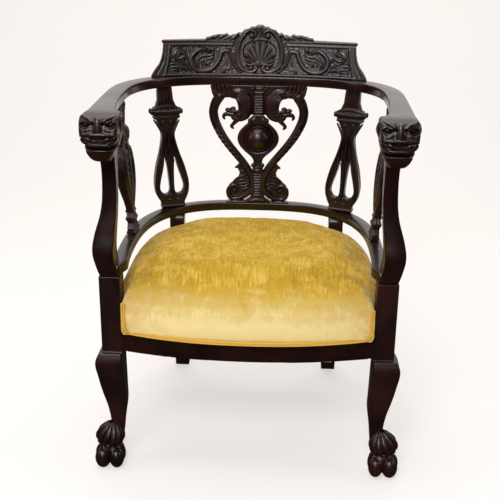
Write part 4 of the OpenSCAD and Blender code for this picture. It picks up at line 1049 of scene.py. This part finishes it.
def crushedVelvet(name, look):
    # woven cut-pile velvet: matt, with a soft sheen at grazing angles; the nap leans in patches, so it goes pale or
    # deep as it is stroked and sat on
    material, tree, shader = newMaterial(name)
    place = addNode(tree, "TexCoord")
    drawn = addNode(tree, "Mapping", links={"Vector": place.outputs["Object"]}, Scale=(1.0, 0.1, 0.1))
    nap = addNode(tree, "TexNoise", links={"Vector": drawn.outputs[0]}, Scale=scaleFor(look["napMm"]), Detail=6.0,
                  Roughness=0.68, Distortion=0.15)
    crush = addNode(tree, "TexNoise", links={"Vector": place.outputs["Object"]}, Scale=scaleFor(look["crushMm"]),
                    Detail=10.0, Roughness=0.72, Distortion=0.5)
    pile = addNode(tree, "TexNoise", links={"Vector": place.outputs["Object"]}, Scale=scaleFor(look["pileMm"]),
                   Detail=1.0)
    streak = addNode(tree, "MapRange", links={"Value": nap.outputs["Fac"]}, From_Min=0.36, From_Max=0.66)
    patch = addNode(tree, "MapRange", links={"Value": crush.outputs["Fac"]}, From_Min=0.46, From_Max=0.56)
    both = addNode(tree, "Math", {"operation": "MULTIPLY_ADD"}, {0: streak.outputs[0]})
    both.inputs[1].default_value = 0.54
    # the middle is sat flat and even, the crushing grows towards the sides
    spot = addNode(tree, "SeparateXYZ", links={"Vector": place.outputs["Object"]})
    across = addNode(tree, "Math", {"operation": "ABSOLUTE"}, {0: spot.outputs["X"]})
    crushing = addNode(tree, "MapRange", links={"Value": across.outputs[0]}, From_Min=0.06, From_Max=0.22,
                       To_Min=0.2, To_Max=0.5)
    calm = addNode(tree, "Math", {"operation": "SUBTRACT"}, {0: patch.outputs[0]})
    calm.inputs[1].default_value = 0.5
    swing = addNode(tree, "Math", {"operation": "MULTIPLY_ADD"}, {0: calm.outputs[0], 1: crushing.outputs[0]})
    swing.inputs[2].default_value = 0.23
    tree.links.new(swing.outputs[0], both.inputs[2])
    tone = addNode(tree, "ValToRGB", links={"Fac": both.outputs[0]})
    for k, hexCode in enumerate((look["deep"], look["pale"])):
        tone.color_ramp.elements[k].color = linearColour(hexCode)
    middle = tone.color_ramp.elements.new(0.5)
    middle.color = linearColour(look["gold"])
    # painted highlight: paler low down on the front border, its upper edge made ragged by the nap and the crush
    # patches
    wander = addNode(tree, "Math", {"operation": "MULTIPLY_ADD"}, {0: crush.outputs["Fac"], 2: spot.outputs["Z"]})
    wander.inputs[1].default_value = 0.1
    ragged = addNode(tree, "Math", {"operation": "MULTIPLY_ADD"}, {0: streak.outputs[0], 2: wander.outputs[0]})
    ragged.inputs[1].default_value = 0.02
    front = addNode(tree, "MapRange", links={"Value": ragged.outputs[0]}, From_Min=look["highlightTop"],
                    From_Max=look["highlightLow"], To_Max=0.88)
    ahead = addNode(tree, "MapRange", links={"Value": spot.outputs["Y"]}, From_Min=look["highlightBack"],
                    From_Max=look["highlightFront"])
    lit = addNode(tree, "Math", {"operation": "MULTIPLY"}, {0: front.outputs[0], 1: ahead.outputs[0]})
    pale = addNode(tree, "MixRGB", {"blend_type": "MIX"}, {"Fac": lit.outputs[0], "Color1": tone.outputs[0]},
                   Color2=linearColour(look["paintedHighlight"]))
    # painted shade: browner towards the sides, its edge broken up by the crush patches
    edge = addNode(tree, "Math", {"operation": "MULTIPLY_ADD"}, {0: patch.outputs[0], 2: across.outputs[0]})
    edge.inputs[1].default_value = 0.06
    paintedSideShade = addNode(tree, "MapRange", links={"Value": edge.outputs[0]}, From_Min=0.17, From_Max=0.3,
                     To_Max=look["sideShadeStrength"])
    worn = addNode(tree, "MixRGB", {"blend_type": "MULTIPLY"},
                   {"Fac": paintedSideShade.outputs[0], "Color1": pale.outputs[0]}, Color2=linearColour(look["paintedSideShade"]))
    tree.links.new(worn.outputs[0], shader.inputs["Base Color"])
    rough = addNode(tree, "MapRange", links={"Value": patch.outputs[0]}, To_Min=0.85, To_Max=0.6)
    tree.links.new(rough.outputs[0], shader.inputs["Roughness"])
    height = addNode(tree, "Math", {"operation": "MULTIPLY_ADD"}, {0: pile.outputs["Fac"], 2: both.outputs[0]})
    height.inputs[1].default_value = 0.35
    bump = addNode(tree, "Bump", links={"Height": height.outputs[0]}, Strength=0.4, Distance=0.0008)
    tree.links.new(bump.outputs[0], shader.inputs["Normal"])
    shader.inputs["Sheen Weight"].default_value = look["sheen"]
    shader.inputs["Sheen Roughness"].default_value = 0.35
    shader.inputs["Sheen Tint"].default_value = linearColour(look["sheenTint"])
    shader.inputs["Specular IOR Level"].default_value = 0.15
    return material


# the nap's streaks are drawn coarser than real pile, about 0.3 mm, so that they show
# the pale front colour and its four limits paint a highlight low on the front of the seat; the brown side colour
# and its strength paint shade towards the sides
velvetLook = {"napMm": 3.57, "crushMm": 38.5, "pileMm": 0.625,
              "highlightTop": 0.455, "highlightLow": 0.4, "highlightBack": -0.14, "highlightFront": -0.2, "paintedHighlight": "#f0d998",
              "paintedSideShade": "#b98f55", "sideShadeStrength": 0.33, "deep": "#96701c", "gold": "#b8942c", "pale": "#d6b658",
              "sheen": 0.35, "sheenTint": "#f7e3a6"}
velvet = crushedVelvet("goldVelvet", velvetLook)
# the piping takes a deeper painted highlight and a weaker painted shade at the sides
piping = crushedVelvet("goldVelvetPiping", dict(velvetLook, paintedHighlight="#dcae4a", sideShadeStrength=0.2))
for piece in [seat] + cords:
    piece.data.materials.clear()
    piece.data.materials.append(velvet if piece is seat else piping)
print("velvet and piping ready")


# floor, backdrop, lights and camera
def softBox(name, place, target, size, power):
    light = bpy.data.lights.new(name, "AREA")
    light.shape = "RECTANGLE"
    light.size, light.size_y = size
    light.energy = power
    lamp = bpy.data.objects.new(name, light)
    lamp.location = place
    lamp.rotation_euler = (Vector(target) - Vector(place)).to_track_quat("-Z", "Y").to_euler()
    bpy.context.scene.collection.objects.link(lamp)


def makeStage():
    material, tree, shader = newMaterial("paintedStudioFloor")
    place = addNode(tree, "TexCoord")
    cloud = addNode(tree, "TexNoise", links={"Vector": place.outputs["Object"]}, Scale=0.8, Detail=2.0)
    tint = addNode(tree, "MixRGB", {"blend_type": "MIX"}, {"Fac": cloud.outputs["Fac"]},
                   Color1=linearColour("#a5a19e"), Color2=linearColour("#aaa6a2"))
    tree.links.new(tint.outputs[0], shader.inputs["Base Color"])
    shader.inputs["Roughness"].default_value = 0.9
    shader.inputs["Specular IOR Level"].default_value = 0.1
    shader.inputs["Emission Color"].default_value = linearColour("#f7f3ef")
    shader.inputs["Emission Strength"].default_value = 0.63
    curve = [(1.6 + 1.2 * math.sin(math.radians(a)), 1.2 - 1.2 * math.cos(math.radians(a)))
             for a in range(10, 91, 10)]
    for name, profile in (("studioFloor", [(-2.6, 0.0), (1.0, 0.0)]),
                          ("studioBackdrop", [(1.0, 0.0), (1.3, 0.0), (1.6, 0.0)] + curve + [(2.8, 4.5)])):
        points = [(x, y, z) for y, z in profile for x in (-2.6, 2.6)]
        faces = [[2 * i, 2 * i + 1, 2 * i + 3, 2 * i + 2] for i in range(len(profile) - 1)]
        mesh = bpy.data.meshes.new(name)
        mesh.from_pydata(points, [], faces)
        mesh.materials.append(material)
        for polygon in mesh.polygons:
            polygon.use_smooth = True
        sheet = bpy.data.objects.new(name, mesh)
        bpy.context.scene.collection.objects.link(sheet)
        sheet.visible_glossy = name == "studioBackdrop"     # the polish mirrors the wall, not the pale floor


makeStage()
print("floor and backdrop ready")

# a dim room round the chair keeps the polish dark, behind it the pale backdrop
world = bpy.data.worlds.new("studio")
bpy.context.scene.world = world
world.use_nodes = True
tree = world.node_tree
background = tree.nodes["Background"]
direct = addNode(tree, "LightPath")
shade = addNode(tree, "MixRGB", {"blend_type": "MIX"}, {"Fac": direct.outputs["Is Camera Ray"]},
                Color1=linearColour("#34302e"), Color2=linearColour("#f6f2ee"))
tree.links.new(shade.outputs[0], background.inputs["Color"])
# where each lamp stands, what it faces, its size in metres and its watts
lamps = {"windowAbove": ((-0.2, 0.1, 2.8), (0, 0, 0.3), (2.4, 1.8), 44),
         "softFront": ((-0.5, -2.6, 2.7), (0, 0, 0.4), (1.6, 0.9), 72),
         "lowFront": ((-0.3, -2.5, 1.3), (0, 0, 0.4), (1.4, 0.5), 9),
         "softLeft": ((-2.5, -0.6, 1.7), (0, 0, 0.5), (0.5, 1.6), 12),
         "softRight": ((2.5, -0.3, 1.7), (0, 0, 0.5), (0.5, 1.6), 12),
         "backdropWash": ((0, 1.5, 3.2), (0, 2.4, 0.6), (4.0, 0.6), 26)}
for name, settings in lamps.items():
    softBox(name, *settings)
bpy.context.scene.view_settings.view_transform = "Standard"

# place in drawn millimetres, angles in degrees, focal length for a 36 mm wide sensor
cameraFit = {"place": (71.3, -1540.1, 1048.2), "yaw": -2.51, "pitch": 20.29, "roll": 0.69, "focal": 63.3024}
lens = bpy.data.cameras.new("studioLens")
lens.sensor_width = 36
lens.lens = cameraFit["focal"]
camera = bpy.data.objects.new("studioCamera", lens)
yaw, pitch, roll = (math.radians(cameraFit[k]) for k in ("yaw", "pitch", "roll"))
ahead = Vector((math.sin(yaw) * math.cos(pitch), math.cos(yaw) * math.cos(pitch), -math.sin(pitch)))
right = Vector((math.cos(yaw), -math.sin(yaw), 0))
up = right.cross(ahead)
rightR, upR = right * math.cos(roll) + up * math.sin(roll), up * math.cos(roll) - right * math.sin(roll)
placeMm = Vector(cameraFit["place"]) + Vector((0, setBack, 0))
camera.matrix_world = Matrix(((rightR.x, upR.x, -ahead.x, placeMm.x / 1000),
                              (rightR.y, upR.y, -ahead.y, placeMm.y / 1000),
                              (rightR.z, upR.z, -ahead.z, placeMm.z / 1000), (0, 0, 0, 1)))
bpy.context.scene.collection.objects.link(camera)
bpy.context.scene.camera = camera

# the seat rails, the only wooden solids left in sight, take the rail finish
for name, cadNode in nodes.items():
    if name not in hiddenLooks and name != "velvet_cover":
        cadNode.data.materials.clear()
        cadNode.data.materials.append(railWood)
